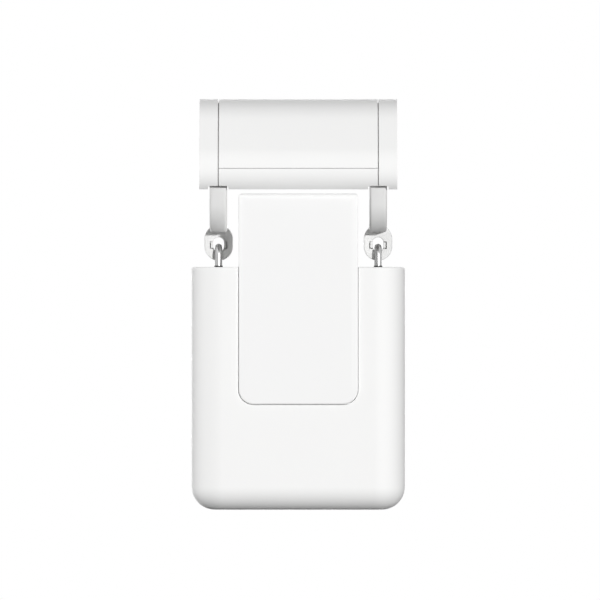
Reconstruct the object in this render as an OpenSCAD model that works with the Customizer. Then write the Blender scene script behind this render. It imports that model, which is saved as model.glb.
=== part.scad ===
// Curtain robot: a carriage with two rollers above and a motor unit with a driven wheel below close on a
// round grip between them. Two sprung hooks pull the two together, and give way to a wider grip.
// The origin is on the axis of the grip at its least diameter, at the middle of the robot.
// X runs along that axis, and -Y is the front.

/* [Grip] */
// Least diameter of the grip between the rollers and the drive wheel, held at rest
rod_min_d = 25; // [24:0.5:26]
// Largest diameter of the grip
rod_max_d = 32; // [29:0.5:33]
// Least gap between the grip and the arms and rails around it
rod_gap = 0.5; // [0.3:0.1:0.8]

/* [Carriage covers] */
// Width of the carriage along the grip's axis
carriage_w = 79.2; // [76:0.2:82]
// Depth of the carriage, front to back
carriage_d = 54; // [52:0.5:58]
// Height of the crown above the grip's axis
crown_z = 29.2; // [28.6:0.1:31]
// Radius of the rounded front and back
nose_r = 15.7; // [14:0.1:17]
// Height of the widest point above the grip's axis
nose_z = 0.2; // [-0.4:0.1:0.8]
// Lean of the flat flanks, from the vertical
flank_deg = 35; // [33:0.5:37]
// Radius of the lip that curls under at the front
lip_r = 10.1; // [9.4:0.1:11]
// Drop of the lip's edge below the grip's axis
lip_drop = 7.2; // [6.4:0.1:7.6]
// Height of the back edge above the grip's axis
back_edge_z = 6; // [4:0.5:8]
// Wall of the covers
cover_wall = 2.2; // [1.8:0.1:2.4]
// Height of the seam between the cover and the front strip
strip_seam_z = 1.2; // [0.8:0.1:3]
// Width of an end cap
end_cap_w = 7.6; // [7.2:0.1:8.6]
// Thickness of an end cap's outer wall
end_wall = 2; // [1.6:0.1:2.4]
// Width of the open seams between the covers
cover_seam = 0.4; // [0.3:0.1:0.6]
// Height of the notch that an arm leaves through
notch_h = 1.4; // [0.6:0.1:1.8]

/* [Carriage frame and rollers] */
// Radius of a roller at its waist
roller_r = 5.4; // [5:0.1:5.8]
// Width of a roller, where the carriage has the room
roller_w = 14; // [12.5:0.5:14.5]
// Radius of the hollow around the rollers and the drive wheel
groove_r = 22; // [19:0.5:28]
// Distance between the two roller axles
roller_pitch = 32; // [28:0.5:36]
// Diameter of a roller axle
roller_axle_d = 3; // [2.6:0.1:3.4]
// Outer diameter of a roller's bearing
roller_bearing_d = 7; // [6.4:0.1:7.4]
// Width of a roller's bearing
roller_bearing_w = 3; // [2.5:0.1:4]
// Gap between a roller and a frame rail
rail_gap = 1.6; // [1.2:0.1:1.8]
// Thickness of a frame rail
rail_t = 2.2; // [1.8:0.1:2.4]
// Stock left over an axle hole in a rail
rail_over_axle = 1.8; // [1.2:0.1:2]
// Width of the cross member at the middle
cross_w = 6.4; // [5.6:0.1:8]
// Width of the cross members at the ends
end_cross_w = 10; // [9:0.1:10.4]

/* [Hook arms] */
// Width of an arm
arm_w = 7; // [6:0.1:8]
// Thickness of an arm
arm_t = 4.2; // [3.6:0.1:4.6]
// Outer radius of the bend that turns an arm back under the grip
arm_bend_r = 11.2; // [9:0.1:12]
// Gap between an arm and the covers
arm_gap = 0.5; // [0.3:0.1:0.7]
// Height above the grip's axis at which an arm starts to lean back
arm_knee_z = 1; // [0:0.1:2]
// Width of an eyelet
eyelet_w = 11.4; // [10:0.1:12]
// Thickness of an eyelet
eyelet_t = 3.4; // [2.8:0.1:4]
// Height of an eyelet, below the arm
eyelet_h = 11.4; // [10.6:0.1:12.5]
// Drop of an eyelet's shoulders below the arm's upper face
eyelet_shoulder = 1.2; // [0.8:0.1:2]
// Radius of the round ends of an eyelet's hole
eyelet_hole_r = 2.2; // [2:0.1:2.5]
// Length by which an eyelet's hole is higher than wide
eyelet_slot = 1.4; // [0.6:0.1:1.6]
// Stock under an eyelet's hole
eyelet_rim = 3.6; // [3:0.1:4]
// Width of the shallow pocket across an eyelet
pocket_w = 7.2; // [6.4:0.1:8.4]
// Height of the shallow pocket across an eyelet
pocket_h = 3.2; // [2.6:0.1:3.8]
// Depth of the shallow pocket across an eyelet
pocket_d = 0.8; // [0.4:0.1:1.2]

/* [Spring hooks] */
// Diameter of a hook's wire
hook_wire_d = 2.9; // [2.4:0.1:3.2]
// Half length of the straight run between a hook's two bends
hook_run = 0.8; // [0.4:0.1:1.2]
// Gap between an eyelet and a hook's legs
hook_leg_gap = 1.05; // [0.6:0.05:1.3]
// Gap between a hook and the bottom of its eyelet's hole
hook_seat_gap = 0.2; // [0.1:0.05:0.3]
// Length of a hook's free end behind the eyelet
hook_tip_l = 1.6; // [1:0.1:2]
// Radial clearance of a sliding fit
slide_gap = 0.05; // [0.03:0.01:0.08]
// Outer diameter of a guide bush in the deck
bush_d = 6; // [5.4:0.1:7]
// Diameter of a guide bush's flange
bush_flange_d = 9.2; // [8.4:0.1:9.6]
// Thickness of a guide bush's flange
bush_flange_t = 1.5; // [1.2:0.1:2]
// Height of a guide bush's wiper lip above the deck
bush_lip_h = 0.6; // [0.4:0.1:0.8]
// Length of a compressed hook spring at rest
spring_l = 17; // [16:0.1:17.4]
// Mean diameter of a hook spring
spring_d = 5.8; // [5.4:0.1:6.2]
// Diameter of a hook spring's wire
spring_wire_d = 0.9; // [0.7:0.05:1]
// Turns of a hook spring
spring_turns = 6.5; // [5:0.5:7]
// Diameter of a stop nut's flange
stop_flange_d = 8; // [7.6:0.1:8.6]
// Thickness of a stop nut's flange
stop_flange_t = 1; // [0.8:0.1:1.4]
// Width of a stop nut across its corners
stop_hex_d = 6.4; // [5.8:0.1:7]
// Height of a stop nut's hexagon
stop_hex_h = 2.4; // [2:0.1:2.8]

/* [Body] */
// Width of the body
body_w = 85.5; // [85:0.1:92]
// Depth of the body
body_d = 44; // [43.6:0.1:48]
// Height of the body
body_h = 97.2; // [96.8:0.1:106]
// Radius of the body's upright edges
plan_r = 12.5; // [11:0.1:13]
// Radius of the body's bottom edges
bottom_r = 9.2; // [8:0.1:9.6]
// Radius of the body's top edge
rim_r = 1; // [0.6:0.1:1.2]
// Wall of the body
body_wall = 2.4; // [2:0.1:2.6]
// Gap between the deck and the lowest point of the eyelets
eyelet_deck_gap = 2.6; // [2.2:0.1:4]
// Thickness of the top deck
deck_t = 2.4; // [2:0.1:3]
// Gap around a piece that is let into another
fit_gap = 0.15; // [0.1:0.01:0.25]
// Distance of the joint between front shell and rear cover behind the middle
parting_y = 8; // [7:0.1:9]
// Width of the open seam between front shell and rear cover
parting_seam = 0.25; // [0.2:0.05:0.4]

/* [Front panel and tower] */
// Width of the front panel
panel_w = 47.8; // [46.4:0.1:49]
// Height of the front panel
panel_h = 84.4; // [76:0.2:92]
// Rise of the front panel above the grip's lowest line
panel_rise = 3.7; // [3:0.1:4.4]
// Thickness of the front panel
panel_t = 2.2; // [1.8:0.1:2.4]
// Depth of the recess that the front panel lies in
panel_recess = 1.2; // [0.8:0.1:1.4]
// Radius of the front panel's lower corners
panel_r = 6; // [4:0.1:9]
// Radius of the front panel's upper corners
panel_top_r = 1.2; // [0.8:0.1:3]
// Distance of the tower's sides behind the panel's edges
tower_inset = 1.3; // [1:0.1:1.8]
// Wall of the tower
tower_wall = 2; // [1.6:0.1:2.1]
// Radius of the tower's rear upright edges
tower_r = 5; // [4:0.1:6]
// Gap between the grip and the tower's top around the wheel
tower_rod_gap = 1.5; // [1.2:0.1:2]

/* [Drive wheel] */
// Radius of the drive tyre at its waist
tyre_r = 11.5; // [11:0.1:11.8]
// Width of the drive tyre
tyre_w = 15; // [13:0.2:15.4]
// Radius of the hub that the tyre sits on
hub_r = 8.6; // [7.6:0.1:9]
// Diameter of the drive axle
drive_axle_d = 4; // [3.6:0.1:4.2]
// Outer diameter of the drive bearings
drive_bearing_d = 9; // [8:0.1:9.6]
// Width of the drive bearings
drive_bearing_w = 2.5; // [2:0.1:2.8]
// Gap between the wheel and the bearing wall in front of it
wheel_gap = 3; // [2:0.1:3.2]

/* [Gearbox] */
// Thickness of the gearbox plates
plate_t = 1.8; // [1.5:0.1:2]
// Thickness of each gear, where the tower has the room
gear_t = 2.2; // [1.8:0.1:2.4]
// Gap beside a gear
gear_gap = 0.4; // [0.3:0.02:0.46]
// Gap between the wheel and the front gearbox plate
plate_gap = 1.5; // [1:0.1:1.8]
// Tooth module of the last gear pair
module_c = 0.8; // [0.78:0.01:0.82]
// Tooth module of the middle gear pair
module_b = 0.7; // [0.68:0.01:0.72]
// Tooth module of the first gear pair
module_a = 0.6; // [0.56:0.01:0.64]
// Teeth of the gear on the drive axle
teeth_drive = 24; // [22:1:24]
// Teeth of the small gear that meshes with it
teeth_c = 12; // [12:1:14]
// Teeth of the large gear of the second wheel
teeth_second = 31; // [27:1:31]
// Teeth of the small gear of the first wheel
teeth_b = 13; // [13:1:15]
// Teeth of the large gear of the first wheel
teeth_first = 29; // [24:1:29]
// Teeth of the pinion on the output shaft
teeth_a = 12; // [12:1:14]
// Play between meshing teeth
backlash = 0.12; // [0.08:0.01:0.2]
// Diameter of the fixed gear pins
gear_pin_d = 3; // [2.6:0.1:3.2]
// Diameter of the gear motor
motor_d = 24; // [22:0.1:25]
// Length of the motor can with its gearhead
motor_l = 23; // [20:0.1:24]
// Length of the gearhead at the motor's output end
gearhead_l = 9; // [7:0.1:11]
// Diameter of the output shaft
shaft_d = 2; // [1.6:0.1:2.4]

/* [Electronics] */
// Diameter of a cell
cell_d = 18.4; // [18:0.1:18.6]
// Length of a cell
cell_l = 65; // [60:0.1:65.4]
// Gap between a cell and the body's side wall
cell_side_gap = 2.45; // [2.2:0.05:3]
// Gap between a cell and the body's floor
cell_floor_gap = 2; // [1.8:0.1:2.4]
// Height of a cell cradle
cradle_h = 22; // [14:0.5:34]
// Height of the main board
board_h = 38.6; // [34:0.1:44]
// Thickness of the main board
board_t = 1.6; // [1.2:0.1:2]
// Width of the charging socket
socket_w = 8.9; // [8.8:0.05:9.4]
// Height of the charging socket's mouth
socket_h = 3.2; // [3.1:0.05:3.6]
// Length of the charging socket
socket_l = 7.3; // [6.6:0.1:9]
// Diameter of the setup button
button_d = 6.4; // [5:0.1:7]
// Travel of the setup button
button_travel = 0.6; // [0.4:0.05:0.7]
// Distance of the setup button from the middle
button_x = 11; // [10.4:0.1:12]
// Diameter of the light pipe
pipe_d = 2.4; // [2:0.1:3]
// Distance of the light pipe from the middle
pipe_x = 10; // [8:0.1:13]
// Diameter of the leads
lead_d = 1.2; // [0.8:0.1:1.4]

/* [Hidden] */

$fn = 64;
hull_fn = 32;
wire_fn = 24;
wheel_fn = 96;
groove_fn = 192;
// How far a cut runs past the piece, and how far joined shapes lie in each other
through = 200;
past = 1;
skin = 0.02;

// Grip: at its largest it touches the rollers too, so its axis lies lower in the carriage's frame
rod_r = rod_min_d / 2;
rod_max_r = rod_max_d / 2;
rod_low_axis_z = rod_r - rod_max_r;
function max_rod_z(y, grow) = rod_low_axis_z + sqrt(pow(rod_max_r + grow, 2) - y * y);

// Carriage profile in the Y-Z plane: lip, nose, flat flank and crown, tangent to each other
half_d = carriage_d / 2;
lip_deg = asin((lip_drop + nose_z) / lip_r);
flank_top = crown_z - nose_z - nose_r * sin(flank_deg);
flank_in = half_d - nose_r * (1 - cos(flank_deg));
crown_r = (flank_in - flank_top * tan(flank_deg)) / (cos(flank_deg) - tan(flank_deg) * (1 - sin(flank_deg)));
lip_centre = [-half_d + lip_r, nose_z];
nose_centre = [-half_d + nose_r, nose_z];
crown_centre = [0, crown_z - crown_r];
back_centre = [half_d - nose_r, nose_z];
lip_steps = 8;
nose_steps = 8;
crown_steps = 24;
function on_circle(c, r, a) = [c[0] + r * cos(a), c[1] + r * sin(a)];
function arc(c, r, a0, a1, steps, first = 0) =
    [for (i = [first:steps]) on_circle(c, r, a0 + (a1 - a0) * i / steps)];
function reversed(list) = [for (i = [len(list) - 1:-1:0]) list[i]];
function back_deg(inset) = asin((back_edge_z - nose_z) / (nose_r - inset));
function carriage_path(inset) = concat(
    arc(lip_centre, lip_r - inset, 180 + lip_deg, 180, lip_steps),
    arc(nose_centre, nose_r - inset, 180, 180 - flank_deg, nose_steps, 1),
    arc(crown_centre, crown_r - inset, 180 - flank_deg, flank_deg, crown_steps),
    arc(back_centre, nose_r - inset, flank_deg, back_deg(inset), nose_steps)
);
strip_gap = cover_seam / 2;
crown_in_z = crown_z - cover_wall;
lip_in = on_circle(lip_centre, lip_r - cover_wall, 180 + lip_deg);
flank_in_start = on_circle(nose_centre, nose_r - cover_wall, 180 - flank_deg);
function flank_in_y(z) = flank_in_start[0] + (z - flank_in_start[1]) * tan(flank_deg);
carriage_hw = carriage_w / 2;
end_hole_gap = 1.5;

// Frame and rollers: rails and axle clips beside the rollers stay clear of the carriage's flanks
roller_z = rod_r + roller_r;
roller_x = roller_pitch / 2;
roller_axle_r = roller_axle_d / 2;
roller_bearing_r = roller_bearing_d / 2;
clip_t = 0.7;
clip_rim = 1.3;
clip_r = roller_axle_r + clip_rim;
clip_end = 0.5;
clip_gap = 0.4;
axle_end = rail_gap + rail_t + clip_t + clip_end;
roller_room = -flank_in_y(roller_z + clip_r) - clip_gap - axle_end;
roller_hw = min(roller_w / 2, roller_room);
rail_in = roller_hw + rail_gap;
rail_out = rail_in + rail_t;
rail_rod_gap = 1.4;
rail_z0 = max_rod_z(rail_in, 0) + rail_rod_gap;
frame_z = roller_z + roller_axle_r + rail_over_axle;
cross_rod_gap = 1.3;
cross_z0 = rod_r + cross_rod_gap;
frame_end_gap = 0.6;
frame_hw = carriage_hw - end_wall - frame_end_gap;
spacer_rim = 0.8;
spacer_r = roller_axle_r + spacer_rim;
spacer_gap = 0.1;
shoulder_gap = 0.7;
shoulder_r = roller_axle_r + shoulder_gap;

// Screws
m2_r = 1;
m2_head_r = 1.9;
m2_head_h = 1.4;
m2_free = 0.15;
m2_grip = 0.05;
m25_r = 1.2;
m25_head_r = 2.3;
m25_head_h = 1.5;
m25_free = 0.25;
hex_share = 1.05;

// Arms: they stand as far out as the carriage's end caps and the ledges in the body both allow
body_hw = body_w / 2;
side_in = body_hw - body_wall;
ledge_w = 2.2;
bush_side_gap = 0.4;
arm_x = min(carriage_hw - end_cap_w, side_in - ledge_w - bush_flange_d / 2 - bush_side_gap);
arm_screw_x = 1.9;
arm_screw_head_r = 1.7;
arm_screw_head_h = 0.7;
arm_screw_l = 9;
arm_screw_stock = 1;
arm_screw_z = cross_z0 + m2_r + arm_screw_stock;
arm_front = lip_in[0] + arm_gap;
arm_back = arm_front + arm_t;
tab_z0 = max_rod_z(rail_out, 2 * rod_gap);
tab_z1 = arm_screw_z + m2_r + arm_screw_stock;
tab_front = max(-rail_out - arm_t, flank_in_y(tab_z1) + arm_gap);
arm_lean_deg = atan2(-rail_out - arm_back, tab_z0 - arm_knee_z);
arm_lean_step = arm_t * tan(arm_lean_deg / 2);
arm_under_z = rod_low_axis_z - rod_max_r - rod_gap;
arm_low_z = arm_under_z - arm_t;
bend_centre = [arm_front + arm_bend_r, arm_low_z + arm_bend_r];
bend_steps = 12;
eyelet_hy = eyelet_t / 2;
eyelet_low_z = arm_low_z - eyelet_h;
eyelet_r = eyelet_w / 2;
eyelet_top_z = arm_under_z - eyelet_shoulder;
eyelet_hole_z = eyelet_low_z + eyelet_rim + eyelet_hole_r;
notch_side = 0.6;
notch_z = -lip_drop + notch_h;

// Bosses and screws of the covers
cover_boss_r = 2.4;
middle_boss_r = 3;
boss_seam_gap = 0.6;
cover_boss_x = arm_x - cover_boss_r - boss_seam_gap;
cap_boss_x = arm_x + cover_boss_r + boss_seam_gap;
cover_screw_l = 8;
cover_screw_xs = [-cap_boss_x, -cover_boss_x, 0, cover_boss_x, cap_boss_x];

// Hooks
wire_r = hook_wire_d / 2;
hook_y = eyelet_hy + hook_leg_gap + wire_r;
hook_r = hook_y - hook_run;
hook_seat = hook_r - sqrt(pow(hook_r - wire_r, 2) - pow(max(0, eyelet_hy - hook_run), 2));
hook_top_z = eyelet_hole_z - eyelet_hole_r + hook_seat_gap + hook_seat;
hook_bend_z = hook_top_z - hook_r;
deck_z = eyelet_low_z - eyelet_deck_gap;
bush_low_z = deck_z - deck_t - bush_flange_t;
bush_lip_t = 0.2;
stop_z = bush_low_z - spring_l;
hook_foot_l = 0.8;
hook_low_z = stop_z - stop_flange_t - stop_hex_h - hook_foot_l;
spring_rings = 8;
spring_sides = 6;
spring_seat = 0.1;

// Body
body_hd = body_d / 2;
body_low_z = deck_z - body_h;
floor_z = body_low_z + body_wall;
front_in = body_hd - body_wall;
plan_in_r = plan_r - body_wall;
ledge_y = 7;
ledge_h = 2.4;
wall_bite = body_wall / 4;
post_r = 2.4;
boss_over_post = 0.6;
rear_screw_l = 20;
rear_sink = 2;
rear_screw_end = body_hd - rear_sink - rear_screw_l;

// Front panel and tower
panel_hw = panel_w / 2;
panel_z1 = -rod_r + panel_rise;
panel_z0 = panel_z1 - panel_h;
panel_y = -body_hd + panel_recess;
tower_hw = panel_hw - tower_inset;
tower_in = tower_hw - tower_wall;
tower_edge = 0.2;
tower_back = body_hd - rim_r - tower_edge;
tower_z = -rod_r - tower_rod_gap;
panel_over_tower = 0.8;
tower_front_z = panel_z1 - panel_over_tower;

// Drive wheel and gear train: the gears' axes stand below each other on the middle plane
wheel_z = -rod_r - tyre_r;
tyre_hw = tyre_w / 2;
tyre_rim_r = tyre_r + groove_r - sqrt(groove_r * groove_r - tyre_hw * tyre_hw);
drive_axle_r = drive_axle_d / 2;
drive_bearing_r = drive_bearing_d / 2;
hub_boss_t = 2;
hub_boss_r = drive_axle_r + hub_boss_t;
hub_web_t = 3;
hub_rim_t = 1.6;
bearing_wall_y1 = -tyre_hw - wheel_gap;
bearing_wall_y0 = bearing_wall_y1 - drive_bearing_w;
plate_y0 = tyre_hw + plate_gap;
plate_y1 = plate_y0 + plate_t;
layer_a = plate_y1 + gear_gap;
gear_room = (tower_back - tower_wall - fit_gap - plate_t - layer_a - 2 * gear_gap) / 2;
gear_w = min(gear_t, gear_room);
layer_b = layer_a + gear_w + gear_gap;
back_plate_y0 = layer_b + gear_w + gear_gap;
back_plate_y1 = back_plate_y0 + plate_t;
pressure_deg = 25;
addendum = 0.95;
dedendum = 1.2;
flank_points = 4;
second_z = wheel_z - (teeth_drive + teeth_c) * module_c / 2;
first_z = second_z - (teeth_second + teeth_b) * module_b / 2;
motor_z = first_z - (teeth_first + teeth_a) * module_a / 2;
gear_pin_r = gear_pin_d / 2;
shaft_r = shaft_d / 2;
drive_tip_r = module_c * (teeth_drive / 2 + addendum);
gear_roof_z = wheel_z + drive_tip_r + gear_gap;
hump_gap = 0.5;
hump_y = tyre_hw + hump_gap;
hump_roof_t = 1.6;
hump_z = gear_roof_z + hump_roof_t;
slot_gap = 1.8;
slot_rise = tower_z - tower_wall - wheel_z;
slot_hw = sqrt(tyre_rim_r * tyre_rim_r - slot_rise * slot_rise) + slot_gap;
slot_front_gap = 1;
motor_r = motor_d / 2;
motor_back = plate_y0 - motor_l;
can_step = 0.3;
end_cap_l = 2;
end_cap_r = 9.5;
motor_boss_r = 3.5;
motor_boss_sink = 0.2;
motor_screw_x = 8.5;
motor_screw_bite = 2.9;
shaft_end_gap = 0.3;
axle_clear = 1;
countersink_h = 1.2;

// Gearbox plates: wide inside the tower, and narrow below the deck, where they carry the motor
plate_side_gap = 0.3;
plate_top_gap = 0.1;
plate_shoulder = 1.4;
plate_margin = 3.5;
plate_under_motor = 4;
plate_hw = tower_in - plate_side_gap;
plate_foot_hw = motor_r + plate_margin;
plate_z1 = gear_roof_z - plate_top_gap;
plate_shoulder_z = deck_z - deck_t - plate_shoulder;
plate_z0 = motor_z - motor_r - plate_under_motor;
spacer_post_r = 2.4;
spacer_edge = 0.6;
spacer_head = 2.5;
spacer_foot = 1;
gearbox_posts = [
    [plate_hw - spacer_post_r - spacer_edge, plate_z1 - spacer_post_r - spacer_head],
    [plate_foot_hw - spacer_post_r - spacer_edge, plate_z0 + spacer_post_r + spacer_foot]
];

// Screws that hold the tower on the deck, in posts that grow out of the tower's walls
deck_screw_x = tower_in - post_r + wall_bite;
deck_screw_back_y = 3;
deck_screw_ys = [(panel_y + tower_wall + bearing_wall_y0) / 2, deck_screw_back_y];
deck_post_h = 8;
deck_screw_bite = 5;

// Electronics
cell_r = cell_d / 2;
cell_x = side_in - cell_side_gap - cell_r;
cell_z0 = floor_z + cell_floor_gap;
cell_z1 = cell_z0 + cell_l;
cell_gap = 0.15;
cradle_wall = 1.5;
cradle_in = cell_x - cell_r - cradle_wall;
cradle_reach = 1.6;
cradle_out = body_hw - bottom_r + cradle_reach;
cradle_lift = 0.3;
terminal_r = 3;
terminal_h = 1;
board_side_gap = 0.4;
board_lift = 2.4;
board_hw = cradle_in - board_side_gap;
board_y0 = socket_h / 2;
board_y1 = board_y0 + board_t;
board_z0 = floor_z + board_lift;
board_z1 = board_z0 + board_h;
board_mid_z = board_z0 + board_h / 2;
socket_sink = 0.5;
socket_z0 = body_low_z + socket_sink;
socket_wall = 0.35;
socket_back = 1;
tongue_side = 1.2;
tongue_t = 0.7;
tongue_sink = 0.8;
button_r = button_d / 2;
button_rim = 0.7;
button_flange_r = button_r + button_rim;
button_flange_t = 0.8;
button_side_gap = 0.3;
button_mid_x = min(button_x, cradle_in - button_flange_r - button_side_gap);
button_sink = 0.2;
button_low_z = body_low_z + button_sink;
button_rest_gap = 0.1;
button_seat_z = floor_z + button_rest_gap;
stem_r = 1.2;
switch_lift = 2.8;
switch_z0 = floor_z + switch_lift;
switch_w = 6;
switch_h = 4;
switch_front = 2.2;
plunger_l = 1.6;
plunger_gap = 0.2;
pipe_gap = 0.1;
lead_x = 5;
lead_rise = 4;
lead_drop = 4;

// Parts on the board, as place of the middle in X and above the board's middle, width, height and thickness
front_parts = [[-7, 4, 10, 12, 1.2], [6, -1, 6, 6, 1]];
back_parts = [[-1, 1, 12, 14, 2.6]];
capacitor_at = [10, 5];
capacitor_r = 2.5;
capacitor_l = 5.5;
lamp_w = 2;
lamp_h = 1.4;
lamp_t = 1;

// Screw posts that join front shell and rear cover: between gearbox and spring, and through the board
spring_out_r = (spring_d + spring_wire_d) / 2;
rear_post_drop = 5;
board_hole_gap = 0.3;
board_hole_r = post_r + board_hole_gap;
board_edge = 0.9;
board_post_drop = 2.6;
posts = [
    [(plate_foot_hw + arm_x - spring_out_r) / 2, deck_z - deck_t - post_r - rear_post_drop],
    [board_hw - board_hole_r - board_edge, board_z1 - post_r - board_post_drop]
];

// A shape drawn in X-Z and extruded from y0 to y1
module along_y(y0, y1) {
    translate([0, y1, 0])
        rotate([90, 0, 0])
            linear_extrude(y1 - y0)
                children();
}

// A shape drawn in Y-Z and extruded from x0 to x1
module along_x(x0, x1) {
    translate([x0, 0, 0])
        rotate([90, 0, 90])
            linear_extrude(x1 - x0)
                children();
}

// A round bar along Y
module bar_y(r, y0, y1) {
    translate([0, y1, 0])
        rotate([90, 0, 0])
            cylinder(r = r, h = y1 - y0);
}

// A round bar along Z
module bar_z(r, z0, z1) {
    translate([0, 0, z0])
        cylinder(r = r, h = z1 - z0);
}

// A box between two corners
module box(low, high) {
    translate(low)
        cube(high - low);
}

// A screw along +Z whose head ends at the origin
module screw(r, length, head_r, head_h) {
    bar_z(r, -skin, length);
    difference() {
        bar_z(head_r, -head_h, 0);
        translate([0, 0, -head_h])
            cylinder(r = r * hex_share, h = head_h, center = true, $fn = 6);
    }
}

// A wire of round bars with balls at its corners
module wire(points, r) {
    for (i = [0:len(points) - 2]) {
        d = points[i + 1] - points[i];
        translate(points[i])
            rotate([0, acos(d[2] / norm(d)), atan2(d[1], d[0])])
                cylinder(r = r, h = norm(d), $fn = wire_fn);
    }
    for (i = [1:len(points) - 2])
        translate(points[i])
            sphere(r = r, $fn = wire_fn);
}

// Carriage

// The curved wall of the carriage from x0 to x1
module carriage_wall(x0, x1) {
    along_x(x0, x1)
        polygon(concat(carriage_path(0), reversed(carriage_path(cover_wall))));
}

// The notch in the lip around an arm
module arm_notch(side) {
    w = arm_w / 2 + notch_side;
    box([side * arm_x - w, -half_d, -lip_drop - through], [side * arm_x + w, -rail_out, notch_z]);
}

// A boss under the crown that takes a cover screw
module cover_boss(x, r) {
    translate([x, 0, 0])
        difference() {
            bar_z(r, frame_z, crown_in_z + cover_wall / 2);
            bar_z(m2_r + m2_grip, frame_z - skin, crown_in_z - skin);
        }
}

module carriage_cover() {
    x1 = arm_x - cover_seam / 2;
    seam_z = strip_seam_z + strip_gap / 2;
    color("white") {
        difference() {
            carriage_wall(-x1, x1);
            box([-through, -through, -through], [through, 0, seam_z]);
        }
        cover_boss(0, middle_boss_r);
        for (side = [-1, 1])
            cover_boss(side * cover_boss_x, cover_boss_r);
    }
}

module carriage_front_strip() {
    x1 = arm_x - cover_seam / 2;
    seam_z = strip_seam_z - strip_gap / 2;
    color("white")
        difference() {
            carriage_wall(-x1, x1);
            box([-through, -through, seam_z], [through, through, through]);
            box([-through, 0, -through], [through, through, through]);
            for (side = [-1, 1])
                arm_notch(side);
        }
}

// The end of the carriage with the arched hole around the grip
module end_cap(side) {
    x0 = arm_x + cover_seam / 2;
    color("white")
        mirror([side < 0 ? 1 : 0, 0, 0]) {
            difference() {
                union() {
                    carriage_wall(x0, carriage_hw);
                    along_x(carriage_hw - end_wall, carriage_hw)
                        polygon(carriage_path(cover_wall / 2));
                }
                for (z = [0, rod_low_axis_z])
                    translate([0, 0, z])
                        rotate([0, 90, 0])
                            cylinder(r = (z == 0 ? rod_r : rod_max_r) + end_hole_gap, h = through);
                arm_notch(1);
            }
            cover_boss(cap_boss_x, cover_boss_r);
        }
}

module end_cap_left() {
    end_cap(-1);
}

module end_cap_right() {
    end_cap(1);
}

// Two rails joined by three cross members, drilled for axles and screws
module carriage_frame() {
    color("gainsboro")
        difference() {
            union() {
                for (side = [-1, 1])
                    box(
                        [-frame_hw, side * (rail_in + rail_t / 2) - rail_t / 2, rail_z0],
                        [frame_hw, side * (rail_in + rail_t / 2) + rail_t / 2, frame_z]
                    );
                for (x = [-1, 0, 1]) {
                    w = (x == 0 ? cross_w : end_cross_w) / 2;
                    box([x * arm_x - w, -rail_in - skin, cross_z0], [x * arm_x + w, rail_in + skin, frame_z]);
                }
            }
            for (side = [-1, 1])
                translate([side * roller_x, 0, roller_z])
                    bar_y(roller_axle_r + skin, -rail_out - past, rail_out + past);
            for (x = cover_screw_xs)
                translate([x, 0, 0]) {
                    bar_z(m2_r + m2_free, cross_z0 - past, frame_z + past);
                    bar_z(m2_head_r + m2_free, cross_z0 - past, cross_z0 + m2_head_h + m2_free);
                }
            for (side = [-1, 1], dx = [-1, 1])
                translate([side * arm_x + dx * arm_screw_x, 0, arm_screw_z])
                    bar_y(m2_r + m2_grip, -rail_out - past, tab_front + arm_screw_l + m2_free);
        }
}

module cover_screws() {
    color("silver")
        for (x = cover_screw_xs)
            translate([x, 0, cross_z0 + m2_head_h + m2_free])
                screw(m2_r, cover_screw_l, m2_head_r, m2_head_h);
}

// An upright slot with round ends about z0 and z1
module upright_slot(r, z0, z1) {
    for (z = [z0, z1])
        translate([0, z])
            circle(r = r);
    translate([-r, z0])
        square([2 * r, z1 - z0]);
}

// An arm: tab on the frame, lean, straight strap, bend under the grip, and eyelet
module hook_arm(side) {
    strap = concat(
        [
            [tab_front, tab_z1],
            [-rail_out, tab_z1],
            [-rail_out, tab_z0],
            [arm_back, arm_knee_z]
        ],
        arc(bend_centre, arm_bend_r - arm_t, 180, 270, bend_steps),
        [[eyelet_hy, arm_under_z], [eyelet_hy, arm_low_z]],
        arc(bend_centre, arm_bend_r, 270, 180, bend_steps),
        [
            [arm_front, arm_knee_z + arm_lean_step],
            [tab_front, tab_z0 + arm_lean_step]
        ]
    );
    color("lightgray")
        translate([side * arm_x, 0, 0])
            difference() {
                union() {
                    along_x(-arm_w / 2, arm_w / 2)
                        polygon(strap);
                    along_y(-eyelet_hy, eyelet_hy)
                        upright_slot(eyelet_r, eyelet_low_z + eyelet_r, eyelet_top_z - eyelet_r);
                }
                along_y(-eyelet_t, eyelet_t)
                    upright_slot(eyelet_hole_r, eyelet_hole_z, eyelet_hole_z + eyelet_slot);
                box(
                    [-pocket_w / 2, -eyelet_t, eyelet_hole_z - pocket_h / 2],
                    [pocket_w / 2, -eyelet_hy + pocket_d, eyelet_hole_z + pocket_h / 2]
                );
                for (dx = [-1, 1])
                    translate([dx * arm_screw_x, 0, arm_screw_z])
                        bar_y(m2_r + m2_free, tab_front - past, 0);
            }
}

module hook_arm_left() {
    hook_arm(-1);
}

module hook_arm_right() {
    hook_arm(1);
}

module arm_screws() {
    color("silver")
        for (side = [-1, 1], dx = [-1, 1])
            translate([side * arm_x + dx * arm_screw_x, tab_front, arm_screw_z])
                rotate([-90, 0, 0])
                    screw(m2_r, arm_screw_l, arm_screw_head_r, arm_screw_head_h);
}

// Rollers

module roller_axle(side) {
    color("silver")
        translate([side * roller_x, 0, roller_z])
            bar_y(roller_axle_r, -roller_hw - axle_end, roller_hw + axle_end);
}

module roller_axle_left() {
    roller_axle(-1);
}

module roller_axle_right() {
    roller_axle(1);
}

module axle_clips() {
    color("dimgray")
        for (side = [-1, 1], end = [-1, 1])
            translate([side * roller_x, end * (rail_out + clip_t / 2), roller_z])
                difference() {
                    bar_y(clip_r, -clip_t / 2, clip_t / 2);
                    bar_y(roller_axle_r + skin, -clip_t, clip_t);
                }
}

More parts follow.
